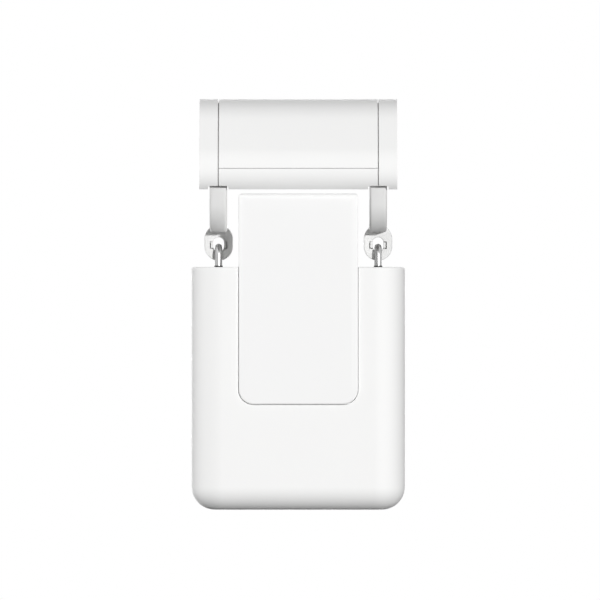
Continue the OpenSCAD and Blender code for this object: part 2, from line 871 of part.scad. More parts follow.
module roller_spacers() {
    color("silver")
        for (side = [-1, 1], end = [-1, 1])
            translate([side * roller_x, end * (roller_hw + rail_in) / 2, roller_z])
                difference() {
                    bar_y(spacer_r, -rail_gap / 2 + spacer_gap, rail_gap / 2 - spacer_gap);
                    bar_y(roller_axle_r + skin, -rail_gap, rail_gap);
                }
}

// A wheel of half width hw with a hollow rim, turned about Y
module hollow_wheel(waist_r, hw, bore_r) {
    rotate([90, 0, 0])
        rotate_extrude($fn = wheel_fn)
            difference() {
                translate([bore_r, -hw])
                    square([waist_r + groove_r - sqrt(groove_r * groove_r - hw * hw) - bore_r, 2 * hw]);
                translate([waist_r + groove_r, 0])
                    circle(r = groove_r, $fn = groove_fn);
            }
}

module roller(side) {
    seat_hw = (roller_bearing_w + past) / 2;
    color("whitesmoke")
        translate([side * roller_x, 0, roller_z])
            difference() {
                hollow_wheel(roller_r, roller_hw, shoulder_r);
                for (end = [-1, 1])
                    translate([0, end * (roller_hw - roller_bearing_w + seat_hw), 0])
                        bar_y(roller_bearing_r + skin, -seat_hw, seat_hw);
            }
}

module roller_left() {
    roller(-1);
}

module roller_right() {
    roller(1);
}

module roller_bearings(side) {
    color("silver")
        for (end = [-1, 1])
            translate([side * roller_x, end * (roller_hw - roller_bearing_w / 2), roller_z])
                difference() {
                    bar_y(roller_bearing_r, -roller_bearing_w / 2, roller_bearing_w / 2);
                    bar_y(roller_axle_r + slide_gap, -roller_bearing_w, roller_bearing_w);
                }
}

module roller_bearings_left() {
    roller_bearings(-1);
}

module roller_bearings_right() {
    roller_bearings(1);
}

// Hooks

// A wire hook: long leg in front of the eyelet, run through its hole, short leg behind it
module spring_hook(side) {
    color("silver")
        translate([side * arm_x, 0, 0]) {
            translate([0, -hook_y, 0])
                bar_z(wire_r, hook_low_z, hook_bend_z);
            translate([0, hook_y, 0]) {
                bar_z(wire_r, hook_bend_z - hook_tip_l, hook_bend_z);
                translate([0, 0, hook_bend_z - hook_tip_l])
                    sphere(r = wire_r);
            }
            for (end = [-1, 1])
                translate([0, end * hook_run, hook_bend_z])
                    rotate([90, 0, 90])
                        rotate([0, 0, end < 0 ? 90 : 0])
                            rotate_extrude(angle = 90)
                                translate([hook_r, 0])
                                    circle(r = wire_r);
            translate([0, 0, hook_top_z])
                bar_y(wire_r, -hook_run, hook_run);
        }
}

module spring_hook_left() {
    spring_hook(-1);
}

module spring_hook_right() {
    spring_hook(1);
}

module hook_stop(side) {
    color("darkgray")
        translate([side * arm_x, -hook_y, 0])
            difference() {
                union() {
                    bar_z(stop_flange_d / 2, stop_z - stop_flange_t, stop_z);
                    translate([0, 0, stop_z - stop_flange_t - stop_hex_h])
                        cylinder(d = stop_hex_d, h = stop_hex_h + stop_flange_t / 2, $fn = 6);
                }
                bar_z(wire_r + skin, hook_low_z, bush_low_z);
            }
}

module hook_stop_left() {
    hook_stop(-1);
}

module hook_stop_right() {
    hook_stop(1);
}

module hook_bush(side) {
    color("dimgray")
        translate([side * arm_x, -hook_y, 0])
            difference() {
                union() {
                    bar_z(bush_d / 2, bush_low_z, deck_z);
                    bar_z(bush_flange_d / 2, bush_low_z, deck_z - deck_t);
                    bar_z(wire_r + slide_gap + bush_lip_t, deck_z - skin, deck_z + bush_lip_h);
                }
                bar_z(wire_r + slide_gap, bush_low_z - past, deck_z + past);
            }
}

module hook_bush_left() {
    hook_bush(-1);
}

module hook_bush_right() {
    hook_bush(1);
}

// Points of a hook spring: rings of a tube around a helix
spring_wire_r = spring_wire_d / 2;
spring_rise = spring_l - spring_wire_d - 2 * spring_seat;
spring_steps = floor(spring_turns * spring_rings);
function spring_centre(i) = let (a = 360 * spring_turns * i / spring_steps)
    [spring_d / 2 * cos(a), spring_d / 2 * sin(a), spring_rise * i / spring_steps];
function spring_ring(i) = let (a = 360 * spring_turns * i / spring_steps, c = spring_centre(i))
    [for (k = [0:spring_sides - 1]) let (b = 360 * k / spring_sides)
        c + spring_wire_r * [cos(b) * cos(a), cos(b) * sin(a), sin(b)]];
// Least gap between the spring's turns, measured on its points from half a turn apart
spring_apart = spring_rings / 2;
spring_least_gap = min([
    for (i = [0:spring_steps], j = [i + spring_apart:1:spring_steps])
        norm(spring_centre(i) - spring_centre(j))
]) - spring_wire_d;

module hook_spring(side) {
    n = spring_sides;
    last = spring_steps * n;
    points = [for (i = [0:spring_steps]) each spring_ring(i)];
    sides = [for (i = [0:spring_steps - 1], k = [0:n - 1]) each [
        [i * n + k, (i + 1) * n + k, (i + 1) * n + (k + 1) % n],
        [i * n + k, (i + 1) * n + (k + 1) % n, i * n + (k + 1) % n]
    ]];
    caps = [for (k = [1:n - 2]) each [[0, k, k + 1], [last, last + k + 1, last + k]]];
    color("gray")
        translate([side * arm_x, -hook_y, stop_z + spring_wire_r + spring_seat])
            polyhedron(points, concat(sides, caps));
}

module hook_spring_left() {
    hook_spring(-1);
}

module hook_spring_right() {
    hook_spring(1);
}

// Body

// The body's outer form, or the same form set in by inset and open at the top
module body_form(inset) {
    tube_r = bottom_r - inset;
    top = inset > 0 ? deck_z + past : deck_z - rim_r;
    hull()
        for (sx = [-1, 1], sy = [-1, 1])
            translate([sx * (body_hw - plan_r), sy * (body_hd - plan_r), 0]) {
                translate([0, 0, body_low_z + bottom_r])
                    rotate_extrude($fn = hull_fn)
                        difference() {
                            translate([plan_r - bottom_r, 0])
                                circle(r = tube_r, $fn = hull_fn);
                            translate([-through, -through])
                                square([through, 2 * through]);
                        }
                translate([0, 0, top - past])
                    cylinder(r = plan_r - inset, h = past, $fn = hull_fn);
                if (inset == 0)
                    translate([0, 0, deck_z - rim_r])
                        rotate_extrude($fn = hull_fn)
                            intersection() {
                                translate([plan_r - rim_r, 0])
                                    circle(r = rim_r, $fn = hull_fn / 2);
                                square([plan_r, rim_r]);
                            }
            }
}

// The body's hollow wall
module body_wall_form() {
    difference() {
        body_form(0);
        body_form(body_wall);
    }
}

// Outline of the front panel, grown by grow
module panel_outline(grow) {
    hw = panel_hw + grow;
    z0 = panel_z0 - grow;
    r = panel_r + grow;
    translate([-hw, z0 + r])
        square([2 * hw, panel_z1 - panel_top_r - z0 - r]);
    translate([-hw + r, z0])
        square([2 * (hw - r), r + skin]);
    translate([-hw + panel_top_r, panel_z1 - panel_top_r - skin])
        square([2 * (hw - panel_top_r), panel_top_r + skin]);
    for (side = [-1, 1]) {
        translate([side * (hw - r), z0 + r])
            circle(r = r);
        translate([side * (hw - panel_top_r), panel_z1 - panel_top_r])
            circle(r = panel_top_r);
    }
}

module front_shell() {
    color("white")
        difference() {
            union() {
                intersection() {
                    body_wall_form();
                    box([-through, -through, -through], [through, parting_y, through]);
                }
                for (side = [-1, 1]) {
                    for (p = posts)
                        translate([side * p[0], 0, p[1]])
                            bar_y(post_r, -front_in - wall_bite, parting_y);
                    x = side * (side_in + (wall_bite - ledge_w) / 2);
                    w = (ledge_w + wall_bite) / 2;
                    box([x - w, -ledge_y, deck_z - deck_t - ledge_h], [x + w, ledge_y, deck_z - deck_t]);
                }
            }
            along_y(-body_hd - past, panel_y)
                panel_outline(fit_gap);
            for (side = [-1, 1], p = posts)
                translate([side * p[0], 0, p[1]])
                    bar_y(m25_r + m2_grip, rear_screw_end - past, parting_y + past);
            translate([0, 0, body_low_z - past])
                linear_extrude(body_wall + 2 * past)
                    socket_outline(fit_gap);
            translate([button_mid_x, 0, 0])
                bar_z(button_r + 2 * slide_gap, body_low_z - past, floor_z + past);
            translate([-pipe_x, 0, 0])
                bar_z(pipe_d / 2 + slide_gap, body_low_z - past, floor_z + past);
        }
}

module rear_cover() {
    color("white")
        difference() {
            union() {
                intersection() {
                    body_wall_form();
                    box([-through, parting_y + parting_seam, -through], [through, through, through]);
                }
                for (side = [-1, 1], p = posts)
                    translate([side * p[0], 0, p[1]])
                        bar_y(post_r + boss_over_post, parting_y, front_in + wall_bite);
            }
            for (side = [-1, 1], p = posts)
                translate([side * p[0], 0, p[1]]) {
                    bar_y(m25_r + m25_free, parting_y - past, body_hd + past);
                    bar_y(m25_head_r + m25_free, body_hd - rear_sink, body_hd + past);
                }
        }
}

module rear_screws() {
    color("silver")
        for (side = [-1, 1], p = posts)
            translate([side * p[0], body_hd - rear_sink, p[1]])
                rotate([90, 0, 0])
                    screw(m25_r, rear_screw_l, m25_head_r, m25_head_h);
}

// Deck that closes the body's top and carries the tower and the bushes
module top_deck() {
    hw = side_in - fit_gap;
    hd = front_in - fit_gap;
    r = plan_in_r - fit_gap;
    color("white")
        difference() {
            translate([0, 0, deck_z - deck_t])
                linear_extrude(deck_t) {
                    square([2 * hw, 2 * (hd - r)], center = true);
                    square([2 * (hw - r), 2 * hd], center = true);
                    for (sx = [-1, 1], sy = [-1, 1])
                        translate([sx * (hw - r), sy * (hd - r)])
                            circle(r = r);
                }
            box([-tower_in, plate_y0 - fit_gap, -through], [tower_in, through, through]);
            for (side = [-1, 1]) {
                translate([side * arm_x, -hook_y, 0])
                    bar_z(bush_d / 2 + slide_gap, deck_z - deck_t - past, deck_z + past);
                for (y = deck_screw_ys)
                    translate([side * deck_screw_x, y, 0])
                        bar_z(m2_r + m2_free, deck_z - deck_t - past, deck_z + past);
            }
        }
}

module deck_screws() {
    color("silver")
        for (side = [-1, 1], y = deck_screw_ys)
            translate([side * deck_screw_x, y, deck_z - deck_t])
                screw(m2_r, deck_t + deck_screw_bite, m2_head_r, m2_head_h);
}

module front_panel() {
    color("white")
        along_y(panel_y - panel_t, panel_y)
            panel_outline(0);
}

// Plan of the tower, set in by inset
module tower_plan(inset) {
    hw = tower_hw - inset;
    back = tower_back - inset;
    r = tower_r - inset;
    translate([-hw, panel_y + inset])
        square([2 * hw, back - r - panel_y - inset]);
    translate([-hw + r, 0])
        square([2 * (hw - r), back]);
    for (side = [-1, 1])
        translate([side * (hw - r), back - r])
            circle(r = r);
}

// Tower around the wheel, with a high front wall, a slot for the wheel and a raised back over the gears
module tower_housing() {
    color("white")
        difference() {
            union() {
                difference() {
                    translate([0, 0, deck_z])
                        linear_extrude(tower_front_z - deck_z)
                            tower_plan(0);
                    translate([0, 0, deck_z - past])
                        linear_extrude(tower_z - tower_wall - deck_z + past)
                            tower_plan(tower_wall);
                }
                box(
                    [-tower_in - skin, bearing_wall_y0, deck_z],
                    [tower_in + skin, bearing_wall_y1, tower_z - tower_wall + skin]
                );
                for (side = [-1, 1], y = deck_screw_ys)
                    translate([side * deck_screw_x, y, 0])
                        bar_z(post_r, deck_z, deck_z + deck_post_h);
            }
            box([-through, panel_y + tower_wall, tower_z], [through, hump_y, through]);
            box([-through, hump_y - skin, hump_z], [through, through, through]);
            box(
                [-plate_hw - fit_gap, plate_y0 - fit_gap, deck_z - past],
                [plate_hw + fit_gap, back_plate_y1 + fit_gap, gear_roof_z]
            );
            box([-slot_hw, -tyre_hw - slot_front_gap, deck_z + tower_wall], [slot_hw, hump_y, through]);
            translate([0, 0, wheel_z])
                bar_y(drive_bearing_r + skin, bearing_wall_y0 - past, bearing_wall_y1 + past);
            for (side = [-1, 1], y = deck_screw_ys)
                translate([side * deck_screw_x, y, 0])
                    bar_z(m2_r + m2_grip, deck_z - past, deck_z + deck_screw_bite + past);
        }
}

// Drive wheel

module drive_tyre() {
    color("darkslategray")
        translate([0, 0, wheel_z])
            hollow_wheel(tyre_r, tyre_hw, hub_r + skin);
}

module drive_hub() {
    color("whitesmoke")
        translate([0, 0, wheel_z])
            rotate([90, 0, 0])
                rotate_extrude()
                    union() {
                        translate([drive_axle_r + skin, -tyre_hw])
                            square([hub_boss_r - drive_axle_r - skin, tyre_w]);
                        translate([hub_boss_r - skin, -hub_web_t / 2])
                            square([hub_r - hub_boss_r, hub_web_t]);
                        translate([hub_r - hub_rim_t, -tyre_hw])
                            square([hub_rim_t, tyre_w]);
                    }
}

module drive_axle() {
    color("silver")
        translate([0, 0, wheel_z])
            bar_y(drive_axle_r, bearing_wall_y0, back_plate_y1);
}

module drive_bearings() {
    color("silver")
        translate([0, 0, wheel_z])
            for (span = [[bearing_wall_y0, bearing_wall_y1], [back_plate_y0, back_plate_y1]])
                difference() {
                    bar_y(drive_bearing_r, span[0], span[1]);
                    bar_y(drive_axle_r + slide_gap, span[0] - past, span[1] + past);
                }
}

// Gears

function involute_deg(a) = tan(a) * 180 / PI - a;
function polar(r, a) = [r * cos(a), r * sin(a)];
// Half angle of a tooth at radius rho, from its middle
function tooth_half(rho, pitch_r, teeth) = let (base_r = pitch_r * cos(pressure_deg))
    90 / teeth - backlash / (2 * pitch_r) * 90 / PI + involute_deg(pressure_deg)
    - involute_deg(acos(min(1, base_r / rho)));

// Outline of a gear with a tooth centred at turn degrees
module gear_outline(teeth, mod, turn) {
    pitch_r = teeth * mod / 2;
    root_r = pitch_r - mod * dedendum;
    tip_r = pitch_r + mod * addendum;
    low_r = max(root_r, pitch_r * cos(pressure_deg));
    radii = [for (i = [0:flank_points]) low_r + (tip_r - low_r) * i / flank_points];
    halves = [for (rho = radii) tooth_half(rho, pitch_r, teeth)];
    foot = root_r < low_r ? [[root_r, halves[0]]] : [];
    side = concat(foot, [for (i = [0:flank_points]) [radii[i], halves[i]]]);
    polygon([for (t = [0:teeth - 1]) let (mid = turn + 360 * t / teeth) each concat(
        [for (p = side) polar(p[0], mid - p[1])],
        [for (p = reversed(side)) polar(p[0], mid + p[1])]
    )]);
}

// A gear between y0 and y1 around a bore
module gear(teeth, mod, turn, y0, y1) {
    along_y(y0, y1)
        gear_outline(teeth, mod, turn);
}

down_deg = -90;
function gap_up_deg(teeth) = 90 + 180 / teeth;

module drive_gear() {
    color("ivory")
        translate([0, 0, wheel_z])
            difference() {
                gear(teeth_drive, module_c, down_deg, layer_a, layer_a + gear_w);
                bar_y(drive_axle_r + skin, layer_a - past, layer_a + gear_w + past);
            }
}

// A small and a large gear made in one, on a pin
module compound_gear(small, large) {
    color("ivory")
        difference() {
            union() {
                gear(small[0], small[1], gap_up_deg(small[0]), small[2], small[3]);
                gear(large[0], large[1], down_deg, large[2], large[3]);
            }
            bar_y(gear_pin_r + slide_gap, layer_a - past, back_plate_y0);
        }
}

module second_gear() {
    translate([0, 0, second_z])
        compound_gear(
            [teeth_c, module_c, layer_a, layer_b + gear_w / 2],
            [teeth_second, module_b, layer_b, layer_b + gear_w]
        );
}

module first_gear() {
    translate([0, 0, first_z])
        compound_gear(
            [teeth_b, module_b, layer_a + gear_w / 2, layer_b + gear_w],
            [teeth_first, module_a, layer_a, layer_a + gear_w]
        );
}

module output_shaft() {
    color("silver")
        translate([0, 0, motor_z])
            bar_y(shaft_r, plate_y0 - gearhead_l / 2, layer_a + gear_w);
}

module pinion() {
    color("goldenrod")
        translate([0, 0, motor_z])
            difference() {
                gear(teeth_a, module_a, gap_up_deg(teeth_a), layer_a, layer_a + gear_w);
                bar_y(shaft_r + skin, layer_a - past, layer_a + gear_w + past);
            }
}

module gear_pins() {
    color("silver")
        for (z = [second_z, first_z])
            translate([0, 0, z])
                bar_y(gear_pin_r, plate_y0, back_plate_y1);
}

// Gearbox

module gearbox_plate(y0, y1) {
    box([-plate_hw, y0, plate_shoulder_z], [plate_hw, y1, plate_z1]);
    box([-plate_foot_hw, y0, plate_z0], [plate_foot_hw, y1, plate_shoulder_z + skin]);
}

// The gearbox's screw places
module at_gearbox_posts() {
    for (side = [-1, 1], p = gearbox_posts)
        translate([side * p[0], 0, p[1]])
            children();
}

module gearbox_front_plate() {
    color("silver")
        difference() {
            gearbox_plate(plate_y0, plate_y1);
            translate([0, 0, wheel_z])
                bar_y(drive_axle_r + axle_clear, plate_y0 - past, plate_y1 + past);
            for (z = [second_z, first_z])
                translate([0, 0, z])
                    bar_y(gear_pin_r + skin, plate_y0 - past, plate_y1 + past);
            translate([0, 0, motor_z]) {
                bar_y(motor_boss_r + fit_gap, plate_y0 - past, plate_y1 + past);
                for (side = [-1, 1])
                    translate([side * motor_screw_x, 0, 0]) {
                        bar_y(m2_r + m2_free, plate_y0 - past, plate_y1 + past);
                        bar_y(m2_head_r + m2_free, plate_y1 - countersink_h, plate_y1 + past);
                    }
            }
            at_gearbox_posts()
                bar_y(m2_r + m2_grip, plate_y0 - past, plate_y1 + past);
        }
}

module gearbox_rear_plate() {
    color("silver")
        difference() {
            gearbox_plate(back_plate_y0, back_plate_y1);
            translate([0, 0, wheel_z])
                bar_y(drive_bearing_r + skin, back_plate_y0 - past, back_plate_y1 + past);
            for (z = [second_z, first_z])
                translate([0, 0, z])
                    bar_y(gear_pin_r + skin, back_plate_y0 - past, back_plate_y1 + past);
            at_gearbox_posts() {
                bar_y(m2_r + m2_free, back_plate_y0 - past, back_plate_y1 + past);
                bar_y(m2_head_r + m2_free, back_plate_y1 - countersink_h, back_plate_y1 + past);
            }
        }
}

module gearbox_spacers() {
    color("goldenrod")
        at_gearbox_posts()
            difference() {
                bar_y(spacer_post_r, plate_y1, back_plate_y0);
                bar_y(m2_r + m2_free, plate_y1 - past, back_plate_y0 + past);
            }
}

module gearbox_screws() {
    color("silver")
        at_gearbox_posts()
            translate([0, back_plate_y1 - countersink_h, 0])
                rotate([90, 0, 0])
                    screw(m2_r, back_plate_y1 - countersink_h - plate_y0, m2_head_r, countersink_h - skin);
}

// Motor

module motor_can() {
    color("silver")
        translate([0, 0, motor_z])
            bar_y(motor_r - can_step, motor_back, plate_y0 - gearhead_l);
}

module gearhead() {
    color("darkgray")
        translate([0, 0, motor_z])
            difference() {
                union() {
                    bar_y(motor_r, plate_y0 - gearhead_l, plate_y0);
                    bar_y(motor_boss_r, plate_y0 - past, plate_y1 - motor_boss_sink);
                }
                bar_y(shaft_r + slide_gap, plate_y0 - gearhead_l / 2 - shaft_end_gap, plate_y1 + past);
                for (side = [-1, 1])
                    translate([side * motor_screw_x, 0, 0])
                        bar_y(m2_r + m2_grip, plate_y0 - motor_screw_bite - past, plate_y0 + past);
            }
}

module motor_end_cap() {
    color("black")
        translate([0, 0, motor_z])
            bar_y(end_cap_r, motor_back - end_cap_l, motor_back);
}

module motor_screws() {
    color("silver")
        for (side = [-1, 1])
            translate([side * motor_screw_x, plate_y1 - countersink_h, motor_z])
                rotate([90, 0, 0])
                    screw(m2_r, plate_t - countersink_h + motor_screw_bite, m2_head_r, countersink_h - skin);
}

// Two leads from the motor's end cap down to the board
module motor_leads() {
    y = motor_back - end_cap_l - lead_d / 2;
    z0 = board_z1 - lead_drop;
    color("firebrick")
        for (side = [-1, 1])
            translate([side * lead_x, 0, 0])
                wire([[0, y, motor_z + lead_rise], [0, y, z0], [0, board_y0, z0]], lead_d / 2);
}

// Electronics

module cell(side) {
    color("steelblue")
        translate([side * cell_x, 0, 0]) {
            bar_z(cell_r, cell_z0, cell_z1 - terminal_h);
            bar_z(terminal_r, cell_z1 - 2 * terminal_h, cell_z1);
        }
}

module cell_left() {
    cell(-1);
}

module cell_right() {
    cell(1);
}

// A cradle around a cell's foot, open towards the side wall
module cell_cradle(side) {
    w = cell_r + cradle_wall;
    z0 = floor_z + cradle_lift;
    color("dimgray")
        mirror([side < 0 ? 1 : 0, 0, 0])
            difference() {
                box([cradle_in, -w, z0], [cradle_out, w, z0 + cradle_h]);
                translate([cell_x, 0, 0])
                    bar_z(cell_r + cell_gap, cell_z0, cell_z1);
            }
}

module cell_cradle_left() {
    cell_cradle(-1);
}

module cell_cradle_right() {
    cell_cradle(1);
}

module main_board() {
    color("darkgreen")
        difference() {
            box([-board_hw, board_y0, board_z0], [board_hw, board_y1, board_z1]);
            for (side = [-1, 1])
                translate([side * posts[1][0], 0, posts[1][1]])
                    bar_y(board_hole_r, board_y0 - past, board_y1 + past);
        }
}

// Chips, radio module, capacitor, lamp and the switch behind the button, soldered on the board
module board_parts() {
    color("dimgray") {
        for (p = front_parts)
            translate([p[0], board_y0 - p[4] / 2, board_mid_z + p[1]])
                cube([p[2], p[4], p[3]], center = true);
        for (p = back_parts)
            translate([p[0], board_y1 + p[4] / 2, board_mid_z + p[1]])
                cube([p[2], p[4], p[3]], center = true);
        translate([capacitor_at[0], 0, board_mid_z + capacitor_at[1]])
            bar_y(capacitor_r, board_y0 - capacitor_l, board_y0);
        translate([-pipe_x, board_y0, board_z0])
            box([-lamp_w / 2, -lamp_t, 0], [lamp_w / 2, 0, lamp_h]);
        translate([button_mid_x, 0, switch_z0])
            difference() {
                box([-switch_w / 2, -switch_front, 0], [switch_w / 2, board_y0, switch_h]);
                bar_z(stem_r + slide_gap, -past, plunger_l + button_travel + plunger_gap);
            }
    }
}

// Rounded slot of the charging socket, grown by grow
module socket_outline(grow) {
    r = socket_h / 2 + grow;
    square([socket_w - socket_h, 2 * r], center = true);
    for (side = [-1, 1])
        translate([side * (socket_w - socket_h) / 2, 0])
            circle(r = r);
}

module charging_socket() {
    color("silver")
        translate([0, 0, socket_z0]) {
            difference() {
                linear_extrude(socket_l)
                    socket_outline(0);
                translate([0, 0, -past])
                    linear_extrude(socket_l - socket_back + past)
                        socket_outline(-socket_wall);
            }
            box(
                [-socket_w / 2 + tongue_side, -tongue_t / 2, tongue_sink],
                [socket_w / 2 - tongue_side, tongue_t / 2, socket_l - socket_back / 2]
            );
        }
}

module setup_button() {
    color("white")
        translate([button_mid_x, 0, 0]) {
            bar_z(button_r, button_low_z, button_seat_z);
            bar_z(button_flange_r, button_seat_z, button_seat_z + button_flange_t);
            bar_z(stem_r, button_seat_z, switch_z0 + plunger_l);
        }
}

module light_pipe() {
    color("azure")
        translate([-pipe_x, 0, 0])
            bar_z(pipe_d / 2, body_low_z + pipe_gap, board_z0 - pipe_gap);
}

echo(spring_least_gap_mm = spring_least_gap);
carriage_cover();
carriage_front_strip();
end_cap_left();
end_cap_right();
carriage_frame();
cover_screws();
hook_arm_left();
hook_arm_right();
arm_screws();
roller_axle_left();
roller_axle_right();
axle_clips();
roller_spacers();
roller_left();
roller_right();
roller_bearings_left();
roller_bearings_right();
spring_hook_left();
spring_hook_right();
hook_stop_left();
hook_stop_right();
hook_bush_left();
hook_bush_right();
hook_spring_left();
hook_spring_right();
front_shell();
rear_cover();
rear_screws();
top_deck();
deck_screws();
front_panel();
tower_housing();
drive_tyre();
drive_hub();
drive_axle();
drive_gear();
drive_bearings();
second_gear();
first_gear();
output_shaft();
pinion();
gear_pins();
gearbox_front_plate();
gearbox_rear_plate();
gearbox_spacers();
gearbox_screws();
motor_can();
gearhead();
motor_end_cap();
motor_screws();
motor_leads();
cell_left();
cell_right();
cell_cradle_left();
cell_cradle_right();
main_board();
board_parts();
charging_socket();
setup_button();
light_pipe();
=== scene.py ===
import math

import bmesh
import bpy
import numpy as np
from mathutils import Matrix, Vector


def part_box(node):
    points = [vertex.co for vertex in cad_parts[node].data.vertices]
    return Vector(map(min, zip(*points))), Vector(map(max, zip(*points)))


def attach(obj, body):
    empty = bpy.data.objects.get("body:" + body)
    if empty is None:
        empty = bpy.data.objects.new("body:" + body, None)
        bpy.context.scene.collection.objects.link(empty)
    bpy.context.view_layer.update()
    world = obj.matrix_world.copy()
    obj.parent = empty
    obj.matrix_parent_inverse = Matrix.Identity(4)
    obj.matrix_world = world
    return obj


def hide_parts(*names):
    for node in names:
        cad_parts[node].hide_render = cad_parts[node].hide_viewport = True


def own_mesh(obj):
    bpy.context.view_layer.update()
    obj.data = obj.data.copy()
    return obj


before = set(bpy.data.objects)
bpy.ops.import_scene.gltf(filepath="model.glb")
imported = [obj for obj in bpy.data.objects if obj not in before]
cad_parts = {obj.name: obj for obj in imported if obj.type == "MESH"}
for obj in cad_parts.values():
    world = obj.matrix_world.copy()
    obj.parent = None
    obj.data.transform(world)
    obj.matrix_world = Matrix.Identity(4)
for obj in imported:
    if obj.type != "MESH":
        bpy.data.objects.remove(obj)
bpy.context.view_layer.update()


# Carriage frame: one light grey moulding of glass-filled nylon, two rails joined by three cross members.
# The roller axles lie across it, and the arms and the white covers are screwed to it.
MM = 0.001
WELD = 0.01
NODE_FLAT = 1
SHARP = 38
GREY = (0.73, 0.73, 0.725)
CLOUD = 14
GRAIN_ROUGH = 0.2


class Socket:
    """An output socket of a material. Arithmetic on it adds Math nodes, and node() adds any other node."""

    def __init__(self, tree, out=None):
        self.tree, self.out = tree, out

    def node(self, kind, settings, sockets, out=0):
        """Adds a node: its settings are set first, then a value or a link for each of its sockets."""
        made = self.tree.nodes.new(kind)
        for name, value in settings.items():
            setattr(made, name, value)
        for name, value in sockets.items():
            if isinstance(value, Socket):
                self.tree.links.new(value.out, made.inputs[name])
            else:
                made.inputs[name].default_value = value
        return Socket(self.tree, made.outputs[out])

    def math(self, operation, first, second):
        """One Math node on two values."""
        return self.node("ShaderNodeMath", {"operation": operation}, {0: first, 1: second})

    def __add__(self, other):
        return self.math("ADD", self, other)

    def __sub__(self, other):
        return self.math("SUBTRACT", self, other)

    def __rsub__(self, other):
        return self.math("SUBTRACT", other, self)

    def __mul__(self, other):
        return self.math("MULTIPLY", self, other)

    __radd__ = __add__
    __rmul__ = __mul__


def noise(vector, size, detail=2):
    """Soft noise between 0 and 1 whose lumps are about size mm wide."""
    sockets = {"Vector": vector, "Scale": 1 / size, "Detail": detail}
    return vector.node("ShaderNodeTexNoise", {}, sockets, "Fac")


def stretched(vector, factors):
    """A vector times a factor along each axis."""
    return vector.node("ShaderNodeVectorMath", {"operation": "MULTIPLY"}, {0: vector, 1: factors})


def tinted(vector, colour, shade):
    """A colour times a factor."""
    return vector.node("ShaderNodeVectorMath", {"operation": "SCALE"}, {0: colour, "Scale": shade})


def bumped(vector, height, depth):
    """The normal of a surface that rises by height x depth mm."""
    sockets = {"Strength": 1, "Distance": depth * MM, "Height": height}
    return vector.node("ShaderNodeBump", {}, sockets, "Normal")


def finish(name, build, constants):
    """A material. build(space) gives the sockets that vary, from Object coordinates in mm, and the constants
    stay on the Principled node's own sockets."""
    made = bpy.data.materials.new(name)
    made.use_nodes = True
    tree = made.node_tree
    shader = tree.nodes["Principled BSDF"]
    place = Socket(tree).node("ShaderNodeTexCoord", {}, {}, "Object")
    space = place.node("ShaderNodeVectorMath", {"operation": "SCALE"}, {0: place, "Scale": 1 / MM})
    for socket, value in build(space).items():
        tree.links.new(value.out, shader.inputs[socket])
    for socket, value in constants.items():
        shader.inputs[socket].default_value = value
    return made


def moulded(name, colour, rough, grain, depth, cloud, gloss=0.4):
    """Moulded plastic: the colour drifts by cloud over CLOUD mm, and the skin has the grain of a spark-eroded
    tool, noise at grain mm and depth mm deep, which makes it rougher in its hollows."""

    def build(space):
        skin_grain = noise(space, grain)
        return {
            "Base Color": tinted(space, colour, 1 + cloud * (noise(space, CLOUD) - 0.5)),
            "Roughness": rough + GRAIN_ROUGH * (0.5 - skin_grain),
            "Normal": bumped(space, skin_grain, depth),
        }

    return finish(name, build, {"Specular IOR Level": gloss})


def placed(name, data):
    """An object at the origin with this mesh, lamp or camera."""
    made = bpy.data.objects.new(name, data)
    bpy.context.scene.collection.objects.link(made)
    return made


def rounded(piece, width):
    """Rounds a piece's edges that turn by more than SHARP degrees by width mm, and shades it smoothly."""
    piece.data.shade_smooth()
    edges = piece.modifiers.new("edges", "BEVEL")
    edges.width = width * MM
    edges.use_clamp_overlap = False
    edges.loop_slide = False
    edges.segments = 2
    edges.angle_limit = math.radians(SHARP)
    edges.harden_normals = True
    return piece


def merged(mesh, flat):
    """Merges a mesh's points that lie within WELD mm, and joins faces that turn by less than flat degrees."""
    work = bmesh.new()
    work.from_mesh(mesh)
    bmesh.ops.remove_doubles(work, verts=work.verts, dist=WELD * MM)
    bmesh.ops.dissolve_limit(work, angle_limit=math.radians(flat), verts=work.verts, edges=work.edges)
    work.to_mesh(mesh)
    work.free()


def trimmed(node, width):
    """A copy of a CAD node: loose triangles merged, flat faces joined and sharp edges rounded by width mm."""
    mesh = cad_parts[node].data.copy()
    merged(mesh, NODE_FLAT)
    mesh.attributes.remove(mesh.attributes["custom_normal"])
    return rounded(placed(node + "_trim", mesh), width)


def show(piece, material, body, slot, *nodes):
    """Gives a piece its material, sets it on a CAD body and shows it in place of these CAD nodes."""
    piece.data.materials.clear()
    piece.data.materials.append(material)
    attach(piece, body)
    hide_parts(*nodes)


grey_plastic = moulded("grey_plastic", GREY, rough=0.55, grain=0.3, depth=0.004, cloud=0.04, gloss=0.2)
carriage_frame = trimmed("carriage_frame", width=0.03)
show(carriage_frame, grey_plastic, "carriage", "grey_arm", "carriage_frame")


# Roller axles, spacers, clips and ball bearings: ground and turned steel. The axles are pushed through the
# rails and held by a clip at each end, and a bearing is pressed into each end of a roller.
STEEL = (0.58, 0.58, 0.57)
TOOL_LINES = 0.12
FILM = 5


def machined(name, colour, rough, stretch, depth, edge=1):
    """Bare metal: fine tool lines, noise at TOOL_LINES mm drawn out along the axes where stretch is small,
    and a faint film over FILM mm, both of which change how rough it is. It shines by edge times its colour
    where it turns away."""

    def build(space):
        lines = noise(stretched(space, stretch), TOOL_LINES)
        film = noise(space, FILM, detail=3)
        return {
            "Base Color": tinted(space, colour, 0.92 + 0.16 * film),
            "Roughness": rough + 0.14 * (lines - 0.5) + 0.1 * (film - 0.5),
            "Normal": bumped(space, lines, depth),
        }

    return finish(name, build, {"Metallic": 1, "Specular Tint": (edge, edge, edge, 1)})


